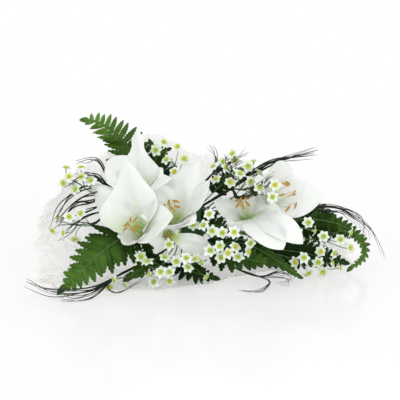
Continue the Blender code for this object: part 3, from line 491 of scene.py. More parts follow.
def bands(rings, count, closed=False):
    """The faces from each ring of that many points to the next, and back to the first if closed."""
    faces = []
    for i in range(rings if closed else rings - 1):
        following = (i + 1) % rings
        for j in range(count):
            k = (j + 1) % count
            faces.append((i * count + j, i * count + k, following * count + k, following * count + j))
    return faces


class Build:
    """One piece's points, faces and point values, gathered shape by shape in millimetres."""

    def __init__(self):
        self.points = []
        self.faces = []
        self.slots = []
        self.values = {name: [] for name in VALUES}
        self.count = 0

    def add(self, points, faces, slot, **values):
        """A shape, with a value of each kind for each of its points."""
        points = np.asarray(points, float).reshape(-1, 3)
        self.points.append(points)
        self.faces += [tuple(self.count + i for i in face) for face in faces]
        self.slots += [slot] * len(faces)
        for name in VALUES:
            value = np.asarray(values.get(name, 0.0), float).reshape(-1)
            self.values[name].append(np.broadcast_to(value, len(points)))
        self.count += len(points)

    def shell(self, grid, thickness, slot=0, **values):
        """A thin closed shell round a grid of points, thinner towards its long edges."""
        rows, columns = grid.shape[:2]
        normal = np.cross(np.gradient(grid, axis=1), np.gradient(grid, axis=0))
        normal /= np.linalg.norm(normal, axis=2, keepdims=True) + 1e-12
        thin = 1 - EDGE_THINNING * np.abs(np.linspace(-1, 1, columns)) ** 4
        lift = normal * (thickness / 2 * thin)[None, :, None]
        points = np.concatenate([(grid + lift).reshape(-1, 3), (grid - lift).reshape(-1, 3)])
        back = rows * columns
        faces = []
        edges = {}
        for i in range(rows - 1):
            for j in range(columns - 1):
                a = i * columns + j
                quad = (a, a + columns, a + columns + 1, a + 1)
                faces.append(quad[::-1])
                faces.append(tuple(back + k for k in quad))
                for start, end in zip(quad, quad[1:] + quad[:1]):
                    if edges.pop((end, start), None) is None:
                        edges[(start, end)] = True
        for start, end in edges:
            faces.append((start, end, back + end, back + start))
        both = {}
        for name, value in values.items():
            flat = np.broadcast_to(np.asarray(value, float), (rows, columns)).reshape(-1)
            both[name] = np.concatenate([flat, flat])
        both["outer"] = np.concatenate([np.zeros(back), np.ones(back)])
        self.add(points, faces, slot, **both)

    def film(self, grid, kept):
        """A single layer through the kept part of a grid of points."""
        rows, columns = grid.shape[:2]
        faces = []
        for i in range(rows - 1):
            for j in range(columns - 1):
                if kept[i, j]:
                    a = i * columns + j
                    faces.append((a, a + 1, a + columns + 1, a + columns))
        self.add(grid, faces, 0)

    def rings(self, rings, slot, **values):
        """Closed rings of points joined one to the next, with both ends filled."""
        count = len(rings[0])
        faces = bands(len(rings), count)
        faces.append(tuple(range(count - 1, -1, -1)))
        faces.append(tuple((len(rings) - 1) * count + j for j in range(count)))
        share = np.repeat(np.linspace(0, 1, len(rings)), count)
        self.add(rings, faces, slot, **{"along": share, **values})

    def tube(self, path, radii, sides=6, slot=0, flat=1.0, turn=SLANTED):
        """A closed tube along the path. flat is its thickness over its width, the width lying along turn."""
        ways = tangents(path)
        side = across(ways[0], turn)
        rings = []
        for place, way, radius in zip(path, ways, radii):
            side = across(way, side)
            rings.append(ring(place, side, way.cross(side), [radius] * sides, flat))
        self.rings(rings, slot)

    def turned(self, origin, axis, profile, sides, slot=0, **values):
        """A turned shape: its profile of (radius, height along the axis), from its foot round to its end."""
        side = across(axis, SLANTED)
        other = axis.cross(side)
        rings = [ring(origin + axis * height, side, other, [radius] * sides) for radius, height in profile]
        self.rings(rings, slot, **values)

    def piece(self, name, materials, node=None, sharp=50):
        """The finished piece: a mesh in metres that rides on the root and may stand for a CAD node."""
        points = np.concatenate(self.points)
        low = np.minimum(points[:, 2], TABLE_CLEAR)
        band = TABLE_CLEAR - TABLE_GAP
        resting = TABLE_GAP + band * np.exp((low - TABLE_CLEAR) / band)
        points[:, 2] = np.where(points[:, 2] < TABLE_CLEAR, resting, points[:, 2])
        mesh = bpy.data.meshes.new(name)
        mesh.from_pydata((points * MM).tolist(), [], self.faces)
        for kind, parts in self.values.items():
            attribute = mesh.attributes.new(kind, "FLOAT", "POINT")
            attribute.data.foreach_set("value", np.concatenate(parts).astype(np.float32))
        for material in materials:
            mesh.materials.append(material)
        mesh.polygons.foreach_set("material_index", np.array(self.slots, np.int32))
        mesh.shade_smooth()
        mesh.set_sharp_from_angle(angle=math.radians(sharp))
        obj = bpy.data.objects.new(name, mesh)
        bpy.context.scene.collection.objects.link(obj)
        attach(obj, ROOT)
        if node:
            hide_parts(node)
        return obj


# ---------------------------------------------------------------- materials

class Finish:
    """A procedural material, with short calls for the nodes that it links."""

    def __init__(self, name, roughness, **uniform):
        self.material = bpy.data.materials.new(name)
        self.material.use_nodes = True
        self.tree = self.material.node_tree
        self.shader = self.tree.nodes["Principled BSDF"]
        self.shader.inputs["Roughness"].default_value = roughness
        for socket, value in uniform.items():
            self.shader.inputs[socket.replace("_", " ")].default_value = value

    def node(self, kind, inputs, **settings):
        """A node of that kind, with its settings and its inputs set or linked."""
        made = self.tree.nodes.new(kind)
        for name, value in settings.items():
            setattr(made, name, value)
        for name, value in inputs.items():
            if isinstance(value, bpy.types.NodeSocket):
                self.tree.links.new(value, made.inputs[name])
            else:
                made.inputs[name].default_value = value
        return made

    def value(self, name):
        """One of the values that the piece's points carry."""
        return self.node("ShaderNodeAttribute", {}, attribute_name=name).outputs["Fac"]

    def place(self):
        """The place on the piece, in metres."""
        return self.node("ShaderNodeTexCoord", {}).outputs["Object"]

    def maths(self, operation, a, b=0.0):
        """One sum on sockets or numbers."""
        return self.node("ShaderNodeMath", {0: a, 1: b}, operation=operation).outputs[0]

    def times(self, a, b):
        """The product of two sockets or numbers."""
        return self.maths("MULTIPLY", a, b)

    def most(self, a, b):
        """The larger of two sockets or numbers."""
        return self.maths("MAXIMUM", a, b)

    def span(self, value, low, high, to_low=0.0, to_high=1.0):
        """The value's smooth way from low to high, as a way between two others."""
        inputs = {"Value": value, "From Min": low, "From Max": high, "To Min": to_low, "To Max": to_high}
        return self.node("ShaderNodeMapRange", inputs, interpolation_type="SMOOTHSTEP").outputs["Result"]

    def noise(self, scale, detail=3.0, roughness=0.5, vector=None):
        """A noise pattern of that scale, on the piece's places or on another vector."""
        inputs = {"Vector": vector or self.place(), "Scale": scale, "Detail": detail, "Roughness": roughness}
        return self.node("ShaderNodeTexNoise", inputs).outputs["Fac"]

    def cells(self, scale, output, vector=None, **settings):
        """A cell pattern of that scale, on the piece's places or on another vector."""
        inputs = {"Vector": vector or self.place(), "Scale": scale}
        return self.node("ShaderNodeTexVoronoi", inputs, **settings).outputs[output]

    def mix(self, share, a, b):
        """One colour going over to another, each a socket or red, green and blue in linear light."""
        a, b = (c if isinstance(c, bpy.types.NodeSocket) else (*c, 1.0) for c in (a, b))
        return self.node("ShaderNodeMix", {0: share, 6: a, 7: b}, data_type="RGBA").outputs[2]

    def patches(self, pattern, a, b):
        """Two colours in the soft patches of a pattern."""
        return self.mix(self.span(pattern, 0.3, 0.7), a, b)

    def link(self, socket, name="Base Color"):
        """Drive one of the shader's inputs."""
        self.tree.links.new(socket, self.shader.inputs[name])

    def bump(self, height, strength, distance):
        """Raise the surface by that height, over that distance in metres."""
        made = self.node("ShaderNodeBump", {"Height": height, "Strength": strength, "Distance": distance})
        self.link(made.outputs["Normal"], "Normal")


PLAIN_FINISHES = {
    # roughness; the noise's scale, detail and roughness; its two colours; the bump's strength and distance
    "lily_stem_green": (0.45, (260, 3, 0.5), (0.08, 0.20, 0.03), (0.20, 0.36, 0.09), (0.2, 0.0004)),
    "anther_pollen": (0.9, (1800, 4, 0.7), (0.34, 0.155, 0.015), (0.62, 0.37, 0.06), (0.8, 0.0004)),
    "fern_stalk_green": (0.5, (400, 3, 0.5), (0.03, 0.09, 0.02), (0.10, 0.20, 0.04), (0.3, 0.0003)),
    "star_stalk_green": (0.5, (400, 3, 0.5), (0.025, 0.07, 0.015), (0.10, 0.19, 0.04), (0.3, 0.0003)),
    "plant_fibre_thread": (0.6, (90, 3, 0.5), (0.86, 0.85, 0.77), (0.96, 0.95, 0.91), None),
    "holder_plastic_green": (0.38, (900, 2, 0.5), (0.018, 0.085, 0.028), (0.03, 0.115, 0.04), (0.15, 0.0002)),
}


def plain_finish(name):
    """Two colours in the patches of a noise, which may raise the surface too."""
    roughness, noise, dark, light, bump = PLAIN_FINISHES[name]
    made = Finish(name, roughness)
    pattern = made.noise(*noise)
    made.link(made.patches(pattern, dark, light))
    if bump:
        made.bump(pattern, *bump)
    return made.material


def tepal_finish():
    """Lily tepals: white, green in the throat and along the midrib, with fine lengthwise veins."""
    made = Finish("lily_tepal_white", 0.42, Subsurface_Weight=0.25, Subsurface_Scale=0.004,
                  Subsurface_Radius=(1.0, 1.0, 0.8))
    along, sideways, outer = made.value("along"), made.value("across"), made.value("outer")
    drawn = made.node("ShaderNodeCombineXYZ", {"X": made.times(sideways, 9.0), "Y": made.times(along, 1.3),
                                               "Z": made.times(outer, 3.0)}).outputs["Vector"]
    veins = made.noise(3.0, 4.0, vector=drawn)
    blotch = made.noise(28.0, 2.0)
    rib = made.span(made.maths("ABSOLUTE", sideways), 0.16, 0.0)
    rib = made.times(rib, made.span(along, 0.85, 0.1, 0.0, 0.42))
    throat = made.times(made.span(along, 0.46, 0.16), made.span(blotch, 0.2, 0.8, 0.75, 1.1))
    outside = made.times(outer, made.span(along, 0.8, 0.15, 0.0, 0.35))
    green = made.most(made.most(rib, throat), outside)
    white = made.patches(veins, (0.860, 0.890, 0.845), (0.890, 0.915, 0.875))
    made.link(made.mix(green, white, (0.46, 0.68, 0.13)))
    made.bump(veins, 0.10, 0.0005)
    return made.material


def filament_finish():
    """Filaments and style: pale green, tanned towards the end."""
    made = Finish("filament_pale", 0.4)
    tan = made.times(made.span(made.value("along"), 0.72, 1.0), made.span(made.noise(500.0), 0.1, 0.6))
    made.link(made.mix(tan, (0.62, 0.72, 0.38), (0.52, 0.26, 0.05)))
    return made.material


def fern_finish():
    """Fern: dark to mid green by each pinna's tint, which also holds painted shade, with pale veins and a
    paler underside.
    """
    made = Finish("fern_green", 0.58, Specular_IOR_Level=0.07)
    along, tint = made.value("along"), made.value("tint")
    wide = made.maths("ABSOLUTE", made.value("across"))
    blotch = made.noise(60.0, 4.0)
    # The tint's dark end is painted shade as well as the fern's own dark green
    leaf = made.mix(tint, (0.004, 0.018, 0.002), (0.090, 0.215, 0.022))
    leaf = made.mix(made.times(made.span(blotch, 0.35, 0.7, 0.0, 0.5), tint), leaf, (0.15, 0.30, 0.045))
    rib = made.span(wide, 0.14, 0.03, 0.0, 0.18)
    phase = made.maths("ADD", made.times(along, float(PINNA_TEETH)), made.times(wide, -0.45))
    wave = made.maths("ABSOLUTE", made.maths("SUBTRACT", made.maths("FRACT", phase), 0.5))
    vein = made.times(made.span(wave, 0.10, 0.0, 0.0, 0.22), made.span(wide, 1.0, 0.6))
    lines = made.most(rib, vein)
    leaf = made.mix(made.times(lines, made.span(tint, -0.2, 1.0)), leaf, (0.30, 0.46, 0.14))
    underside = made.times(made.value("outer"), 0.25)
    made.link(made.mix(made.times(underside, tint), leaf, (0.20, 0.34, 0.12)))
    made.bump(made.maths("ADD", lines, made.times(blotch, 0.5)), 0.5, 0.0005)
    return made.material


def petal_finish():
    """Star-flower petals: white, yellow-green at the foot, with a faint midline."""
    made = Finish("star_petal_white", 0.5, Subsurface_Weight=0.2, Subsurface_Scale=0.002)
    along, wide = made.value("along"), made.maths("ABSOLUTE", made.value("across"))
    mottled = made.noise(700.0, 2.0)
    foot = made.span(along, 0.45, 0.05, 0.0, 0.8)
    line = made.times(made.span(wide, 0.2, 0.0, 0.0, 0.3), made.span(along, 1.0, 0.3))
    white = made.patches(mottled, (0.84, 0.88, 0.82), (0.92, 0.93, 0.90))
    white = made.mix(made.times(made.value("tint"), 0.6), white, (0.66, 0.76, 0.50))
    made.link(made.mix(made.most(foot, line), white, (0.50, 0.66, 0.16)))
    made.bump(mottled, 0.15, 0.0003)
    return made.material


def cup_finish():
    """Star-flower cups: yellow to yellow-green, darker inside."""
    made = Finish("star_cup_yellow", 0.5, Subsurface_Weight=0.1, Subsurface_Scale=0.001)
    rim = made.mix(made.span(made.noise(55.0, 1.0), 0.42, 0.66), (0.48, 0.62, 0.10), (0.70, 0.66, 0.08))
    made.link(made.mix(made.span(made.value("along"), 0.78, 0.95), rim, (0.36, 0.30, 0.03)))
    made.bump(made.noise(1500.0, 2.0), 0.4, 0.0003)
    return made.material


def grass_finish():
    """Bear grass: nearly black green with fine lengthwise ribs."""
    made = Finish("bear_grass_dark", 0.45, Specular_IOR_Level=0.25)
    streaks = made.noise(300.0, 3.0)
    tone = made.patches(streaks, (0.004, 0.010, 0.005), (0.016, 0.034, 0.012))
    made.link(made.mix(made.span(made.value("along"), 0.75, 1.0, 0.0, 0.5), tone, (0.05, 0.045, 0.02)))
    made.bump(streaks, 0.3, 0.0002)
    return made.material


def sheet_finish():
    """Plant-fibre sheet: off-white, translucent between a web of denser fibres."""
    made = Finish("plant_fibre_white", 0.8, Specular_IOR_Level=0.2)
    mapping = {"Vector": made.place(), "Scale": (1.0, 1.0, 1.6)}
    squeezed = made.node("ShaderNodeMapping", mapping).outputs["Vector"]
    web = made.noise(90.0, 5.0, 0.6, squeezed)
    strands = made.cells(55.0, "Distance", squeezed, feature="DISTANCE_TO_EDGE")
    fibre = made.most(made.span(strands, 0.05, 0.0, 0.0, 0.6), made.span(web, 0.45, 0.70))
    tone = made.patches(made.noise(22.0, 3.0), (0.95, 0.95, 0.90), (0.98, 0.98, 0.95))
    made.link(made.mix(made.times(fibre, 0.7), tone, (0.99, 0.985, 0.975)))
    made.link(made.span(fibre, 0.0, 1.0, 0.36, 0.46), "Alpha")
    made.bump(fibre, 0.08, 0.0003)
    return made.material


def ribbon_finish():
    """Satin ribbon: fine threads across its length, a soft gloss, and painted shade in the hollows of its
    folds.
    """
    made = Finish("satin_ivory", 0.28, Sheen_Weight=0.4, Sheen_Roughness=0.4, Anisotropic=0.5)
    thread = made.maths("SINE", made.times(made.value("across"), 900.0))
    folds = made.noise(120.0, 3.0)
    # Darker ivory in the low parts of the folds that the bump raises: painted shade
    made.link(made.patches(folds, (0.78, 0.74, 0.64), (0.88, 0.85, 0.77)))
    made.bump(made.maths("ADD", made.times(thread, 0.15), folds), 0.3, 0.0004)
    return made.material


def foam_finish():
    """Wet floral foam: dark green, with painted shade in its open pores."""
    made = Finish("wet_foam_green", 0.85)
    pores = made.cells(900.0, "Distance")
    tone = made.mix(made.noise(80.0), (0.012, 0.07, 0.02), (0.03, 0.13, 0.045))
    # The pores go nearly black: painted shade in their hollows
    made.link(made.mix(made.span(pores, 0.5, 0.2, 0.0, 0.7), tone, (0.004, 0.02, 0.008)))
    made.bump(pores, 0.8, 0.0008)
    return made.material


# ---------------------------------------------------------------- lilies

class Lily:
    """A lily's axes and the shape of its bell."""

    def __init__(self, spec):
        self.base = Vector(spec["base"])
        self.axis = Vector(spec["axis"]).normalized()
        self.up = across(self.axis, UP)
        self.right = self.up.cross(self.axis)
        self.tepals = spec["tepals"]
        self.wall = spec["bell"]
        self.mouth = math.radians(spec["mouth"])
        self.stamen_share, self.stamen_spread, self.anther_size = spec["stamens"]

    def radial(self, azimuth):
        """The direction square to the axis at that azimuth."""
        return self.up * math.cos(azimuth) + self.right * math.sin(azimuth)

    def place(self, radius, height, azimuth):
        """A point at that radius, height and azimuth."""
        return self.base + self.axis * height + self.radial(azimuth) * radius

    def slope(self, arc, length, tip_angle):
        """The wall's angle to the axis at that length along a tepal."""
        if arc <= self.wall:
            return BELL_FOOT + (self.mouth - BELL_FOOT) * (arc / self.wall) ** 2
        return self.mouth + (tip_angle - self.mouth) * (arc - self.wall) / (length - self.wall)


def tepal_form(share, taper):
    """A tepal's half width over its greatest, from its foot to its pointed tip."""
    widest, foot = 0.55 - 0.13 * min(taper, 1.0), 0.17
    if share < widest:
        return foot + (1 - foot) * ease(0, 1, share / widest)
    rest = (share - widest) / (1 - widest)
    drawn_out = max(0.0, taper - 1.0)
    form = max(0.003, 1 - rest ** max(1.0, 2.1 - 0.9 * taper)) ** (0.85 + 0.15 * taper + 0.8 * drawn_out)
    return form + 0.15 * drawn_out * math.exp(-((share - 0.84) / 0.08) ** 2) * ease(1.0, 0.9, share)


def bent(reach, bend):
    """How far a strip that bends evenly gets sideways and inwards in that reach."""
    if abs(bend) < 1e-5:
        return reach, 0.0
    return math.sin(reach * bend) / bend, (1 - math.cos(reach * bend)) / bend


def tepal_relief(share, v, half, waving, crease):
    """How far a tepal's surface stands in or out there: ruffled edges, middle groove, crease and sway."""
    wave_count, wave_start = waving
    crease_place, crease_slant = crease
    ruffle = math.sin(2 * math.pi * wave_count * share + wave_start + (1.3 if v > 0 else 0))
    ruffle *= RUFFLE * half * abs(v) ** 2.2 * ease(0.3, 0.6, share) * (1 - share ** 4)
    keel = -KEEL * math.exp(-(v / KEEL_WIDTH) ** 2) * ease(0.1, 0.3, share) * ease(1.0, 0.7, share)
    from_crease = v - crease_place - crease_slant * (share - 0.6)
    fold = CREASE * half * math.exp(-(from_crease / CREASE_WIDTH) ** 2) * ease(0.4, 0.65, share) * (1 - share)
    sway = SWAY * half * math.sin(3.4 * v + 5.0 * share + wave_start) * ease(0.35, 0.7, share)
    return ruffle + keel + fold + sway


def tepal_grid(lily, tepal, order, rng):
    """A tepal's surface: round the bell at first, then a free lobe that recurves, curls and ruffles."""
    azimuth, length, width, tip_angle, twist, curl, taper = tepal
    azimuth, tip_angle, twist = (math.radians(a) for a in (azimuth, tip_angle, twist))
    outward, sideways = lily.radial(azimuth), lily.radial(azimuth + math.pi / 2)
    waving = rng.uniform(1.6, 2.6), rng.uniform(0, 2 * math.pi)
    crease = rng.uniform(-0.6, 0.6), rng.uniform(-0.7, 0.7)
    substeps = 4
    step = length / (TEPAL_ROWS - 1) / substeps
    radius, height, arc = BELL_RADIUS, 0.0, 0.0
    grid = []
    for share in evenly(TEPAL_ROWS):
        angle = lily.slope(arc, length, tip_angle)
        free = clamp((arc - lily.wall) / (length - lily.wall))
        room = radius * (1.25 + 1.5 * ease(0.6, 1.1, arc / lily.wall) + 9 * free)   # between its neighbours
        half = min(width / 2 * tepal_form(share, taper), room)
        centre = lily.base + lily.axis * height + outward * radius
        inward = lily.axis * math.sin(angle) - outward * math.cos(angle)
        turn = twist * ease(0.0, 0.7, free)
        side = sideways * math.cos(turn) + inward * math.sin(turn)
        inward = inward * math.cos(turn) - sideways * math.sin(turn)
        bend = math.cos(lily.mouth) / max(radius, 12.0) * (1 - free) ** 1.5   # round the bell
        bend -= curl * free / max(half, 6.0)                                  # back at its edges
        blend = ease(0.65, 1.35, arc / lily.wall)
        layer = INNER_GAP * (order % 2) + PAIR_GAP * (order // 2) * ease(0.1, 0.5, arc / lily.wall)
        row = []
        for v in widths(TEPAL_COLUMNS):
            reach = v * half
            round_bell = lily.place(radius + layer, height, azimuth + reach / radius)
            flat, rise = bent(reach, bend)
            point = round_bell.lerp(centre + side * flat + inward * rise, blend)
            row.append(point + inward * tepal_relief(share, v, half, waving, crease))
        grid.append(row)
        for _ in range(substeps):
            middle = lily.slope(arc + step / 2, length, tip_angle)
            radius += step * math.sin(middle)
            height += step * math.cos(middle)
            arc += step
    return as_grid(grid)


def make_lily_tepals(name, lily, material):
    """Six tepals that overlap round the bell, each in a layer of its own, joined at a foot."""
    rng = random.Random(name)
    build = Build()
    for k, tepal in enumerate(lily.tepals):
        build.shell(tepal_grid(lily, tepal, k, rng), TEPAL_THICKNESS, **shares(TEPAL_ROWS, TEPAL_COLUMNS))
    build.turned(lily.base - lily.axis * 0.4, lily.axis, LILY_FOOT, sides=16, along=0.0)
    build.piece(name + "_tepals", [material], name + "_tepals")


def add_stamen(build, lily, azimuth, rng):
    """A curved filament with a tilting anther."""
    top = lily.stamen_share * lily.wall * rng.uniform(0.94, 1.04)
    spread = lily.stamen_spread * rng.uniform(0.8, 1.15)
    path = []
    for share in evenly(FILAMENT_POINTS):
        radius = FILAMENT_FOOT + (spread - FILAMENT_FOOT) * share ** 1.7
        path.append(lily.place(radius, FILAMENT_FOOT + (top - FILAMENT_FOOT) * share, azimuth))
    build.tube(path, [0.75 - 0.4 * share for share in evenly(FILAMENT_POINTS)])
    tilt = lily.radial(azimuth + rng.uniform(-0.6, 0.6)) * 0.8 - lily.axis * rng.uniform(0.2, 0.9)
    tilt.normalize()
    anther = []
    for share in evenly(len(ANTHER_RADII)):
        reach = ANTHER_LENGTH * share
        droop = lily.axis * 0.02 * (reach - ANTHER_LENGTH / 2) ** 2
        anther.append(path[-1] + (tilt * (reach - ANTHER_LENGTH / 3) - droop) * lily.anther_size)
    build.tube(anther, [r * lily.anther_size for r in ANTHER_RADII], sides=8, slot=POLLEN, flat=0.7)


def add_pistil(build, lily):
    """The bowed style with its three-lobed stigma."""
    end = lily.place(2, (lily.stamen_share + PISTIL_EXTRA) * lily.wall, math.pi)
    bow = lily.radial(math.pi) * STYLE_BOW
    style = [lily.base.lerp(end, t) + bow * math.sin(math.pi * t) for t in evenly(len(STYLE_RADII))]
    build.tube(style, STYLE_RADII, sides=8)
    for k in range(3):
        lobe = style[-1] + lily.radial(2 * math.pi * k / 3) * 1.3
        build.turned(lobe, lily.axis, STIGMA_LOBE, sides=8, slot=POLLEN)


def make_lily_stamens(name, lily, filament, pollen):
    """Six stamens and the pistil."""
    rng = random.Random(name + "stamens")
    build = Build()
    for k in range(6):
        add_stamen(build, lily, math.radians(60 * k + 30 + rng.uniform(-9, 9)), rng)
    add_pistil(build, lily)
    build.piece(name + "_stamens", [filament, pollen], name + "_stamens")


def make_lily_stem(name, lily, material):
    """The stem from the foam to the flower, swelling a little under the base."""
    end = lily.base - lily.axis * 0.7
    route = from_foam([end - lily.axis * STEM_STRAIGHT, end - lily.axis * STEM_STRAIGHT / 2, end])
    path = smooth_path(route, steps=6)
    radii = [LILY_STEM_RADIUS * (1 + STEM_SWELL * ease(0.85, 1.0, share)) for share in evenly(len(path))]
    build = Build()
    build.tube(path, radii, sides=14)
    build.piece(name + "_stem", [material], name + "_stem")


# ---------------------------------------------------------------- fern

def pinna_grid(root, out, along, face, length, half_width, rng):
    """One pinna: a narrow leaf with forward-pointing teeth, folded a little along its midrib, drooping."""
    droop, fold = rng.uniform(0.06, 0.20), rng.uniform(0.15, 0.40)
    sweep = rng.uniform(-0.12, 0.12)
    pitch = length / PINNA_TEETH
    grid = []
    for i, share in enumerate(evenly(PINNA_ROWS)):
        envelope = (1 - share ** 3.2) ** 0.8 * (0.78 + 0.22 * ease(0.0, 0.30, share)) + 0.02
        tooth = (0.70, 0.94, 1.0)[i % 3] if i else 1.0
        half = half_width * envelope * tooth
        slant = (0.0, 0.10, 0.55)[i % 3] * pitch * (1 - 0.5 * share)
        middle = root + out * (share * length - PINNA_OVERLAP) + along * (sweep * length * share ** 2)
        middle -= face * (droop * length * share ** 2)
        row = []
        for v in widths(PINNA_COLUMNS):
            point = middle + along * (v * half) + out * (slant * abs(v) ** 1.5)
            row.append(point - face * (fold * half * (abs(v) - 0.3) * ease(0.0, 0.2, share) + 0.4))
        grid.append(row)
    return as_grid(grid)


class Frond:
    """A frond's midrib, and what its pinnae share."""

    def __init__(self, name, spec):
        route, facing, self.half_width, self.pairs, self.bare, self.fullness, self.tint = spec
        self.facing = Vector(facing).normalized()
        self.path = even_path(from_foam(route), FROND_POINTS)
        self.ways = tangents(self.path)
        length = sum((b - a).length for a, b in zip(self.path, self.path[1:]))
        self.spacing = length * (1 - self.bare) / self.pairs
        self.skew, self.longer = PINNA_SKEWS.get(name, 0.0), PINNA_SIDES.get(name, 0.0)

    def pinna(self, share, sign, rng):
        """The pinna at that share of the blade, on the side of that sign, and its tint, which painted shading
        darkens towards the frond's foot.
        """
        reach = share ** PINNA_CROWDING
        room = self.spacing * min(1.2, PINNA_CROWDING * share ** (PINNA_CROWDING - 1))
        k = (self.bare + (1 - self.bare) * min(reach, 0.995)) * (FROND_POINTS - 1)
        low = min(int(k), FROND_POINTS - 2)
        place = self.path[low].lerp(self.path[low + 1], k - low)
        along = self.ways[low]
        face = across(along, self.facing)
        size = self.half_width * min(1.0, 0.75 + 1.2 * reach) * (1 - reach) ** 0.62 + 4
        size *= rng.uniform(0.92, 1.05) * (1 + sign * self.longer)
        lift = rng.uniform(-0.20, 0.32)
        lean = PINNA_LEAN + PINNA_LEAN_GAIN * reach - sign * self.skew
        out = (along.cross(face) * sign + along * lean - face * lift).normalized()
        along_leaf = (along - out * along.dot(out)).normalized()
        half = min(self.fullness * room * (1.06 - 0.30 * reach ** 2), 0.42 * size + 1.2)
        half *= 1 - 1.1 * max(0.0, lean - 0.55)   # steep pinnae stand closer, so they are narrower
        grid = pinna_grid(place, out, along_leaf, face, size, half, rng)
        # The pinna's tint: the frond's own, times painted shade that falls to nothing at the frond's foot
        # under the flowers, plus a little random tone
        uneven = rng.uniform(-0.06, 0.10) * min(1.0, 0.2 + 3 * self.tint)
        return grid[:, ::-sign], clamp(self.tint * 2.6 * reach ** 1.6 + uneven)


def make_fern(name, spec, materials):
    """A frond: a thin stalk and midrib with pairs of toothed pinnae and one at its tip."""
    rng = random.Random(name)
    frond = Frond(name, spec)
    build = Build()
    build.tube(frond.path, [MIDRIB_RADIUS * (1 - 0.72 * share) for share in evenly(FROND_POINTS)], sides=7)
    spread = shares(PINNA_ROWS, PINNA_COLUMNS)
    for pair in range(frond.pairs):
        for sign in (-1, 1):
            # shade is the pinna's tint, painted shade towards the foot included
            grid, shade = frond.pinna((pair + 0.5 + 0.25 * sign) / frond.pairs, sign, rng)
            build.shell(grid, PINNA_THICKNESS, slot=LEAF, tint=shade, **spread)
    way = frond.ways[-1]
    face = across(way, frond.facing)
    length, half = frond.spacing * 1.3, frond.spacing * 0.45
    grid = pinna_grid(frond.path[-2], way, way.cross(face), face, length, half, rng)
    build.shell(grid[:, ::-1], PINNA_THICKNESS, slot=LEAF, tint=frond.tint, **spread)
    build.piece(name, materials, name)


# ---------------------------------------------------------------- star flowers

def petal_grid(centre, out, facing, length, rng):
    """A star flower's petal: narrow at its foot, widest past the middle, with a pointed tip."""
    side = facing.cross(out)
    lift, tip = rng.uniform(0.05, 0.35), rng.uniform(-0.25, 0.15)
    grid = []
    for share in evenly(PETAL_ROWS):
        half = PETAL_HALF_WIDTH * (0.42 + 0.58 * ease(0, 0.5, share)) * max(0.02, 1 - share ** 3.2) ** 0.8
        height = lift * length * share * (1 - share) + tip * length * share ** 3
        row = []
        for v in widths(PETAL_COLUMNS):
            row.append(centre + out * (PETAL_START + (length - PETAL_START) * share) + side * (v * half)
                       + facing * (height + 0.22 * half * v * v))
        grid.append(row)
    return as_grid(grid)


def add_star(build, foot, flower, facing, rng):
    """A flower on its curved stalk: a flaring tube, six pointed petals, a cup and three tiny stamens."""
    throat = flower - facing * STAR_DEPTH
    reach = (throat - foot).length
    leaving = foot + (throat - foot).normalized() * reach * 0.45 + UP * 1.5
    arriving = throat - facing * reach * 0.38
    path, radii = [], []
    for t in evenly(PEDICEL_POINTS):
        path.append(foot * (1 - t) ** 3 + leaving * 3 * t * (1 - t) ** 2 + arriving * 3 * t * t * (1 - t)
                    + throat * t ** 3)
        radii.append(PEDICEL_RADIUS * (1.1 - 0.25 * math.sin(math.pi * t)))
    build.tube(path, radii)
    build.turned(throat, facing, STAR_TUBE, sides=10, slot=PETAL, along=0.1)
    turn, tint = rng.uniform(0, math.pi), rng.uniform(0, 1) ** 2
    u = across(facing, Vector((0.3, 0.2, 1)))
    v = facing.cross(u)
    size = STAR_RADIUS * rng.uniform(0.88, 1.06)
    for k in range(6):
        angle = turn + math.pi * k / 3
        out = u * math.cos(angle) + v * math.sin(angle)
        layer = 0.25 * (k % 2)
        grid = petal_grid(flower - facing * (0.4 + layer), out, facing, size * rng.uniform(0.94, 1.05), rng)
        build.shell(grid, PETAL_THICKNESS, slot=PETAL, tint=tint, **shares(PETAL_ROWS, PETAL_COLUMNS))
    build.turned(flower, facing, STAR_CUP, sides=14, slot=CUP)
    for k in range(3):
        angle = turn + 2 * math.pi * k / 3
        seat = flower + (u * math.cos(angle) + v * math.sin(angle)) * 0.9
        build.turned(seat, facing, STAR_STAMEN, sides=6, slot=CUP, along=0.0)


def nearest_foot(stem, flower):
    """Where on the stem a flower's stalk starts: about one reach behind it, leaning forward."""
    best = None
    for place, along in list(zip(stem, tangents(stem)))[len(stem) // 2:-1]:
        gap = flower - place
        cost = abs(gap.length - PEDICEL_REACH) / PEDICEL_REACH + (1 - gap.normalized().dot(along))
        if best is None or cost < best[0]:
            best = (cost, place)
    return best[1]


def make_spray(name, spec, materials):
    """A spray: one thin stem and its flowers on their stalks."""
    route, flowers = spec
    rng = random.Random(name)
    stem = smooth_path(from_foam(route), steps=4)
    build = Build()
    build.tube(stem, [SPRAY_STEM_RADIUS * (1 - 0.4 * share) for share in evenly(len(stem))], sides=7)
    for flower in flowers:
        flower = Vector(flower)
        foot = nearest_foot(stem, flower)
        facing = ((flower - foot).normalized() * 0.7 + STAR_TURN + shaken(rng, STAR_NOD)).normalized()
        add_star(build, foot, flower, facing, rng)
    build.piece(name, materials, name)


# ---------------------------------------------------------------- bear grass

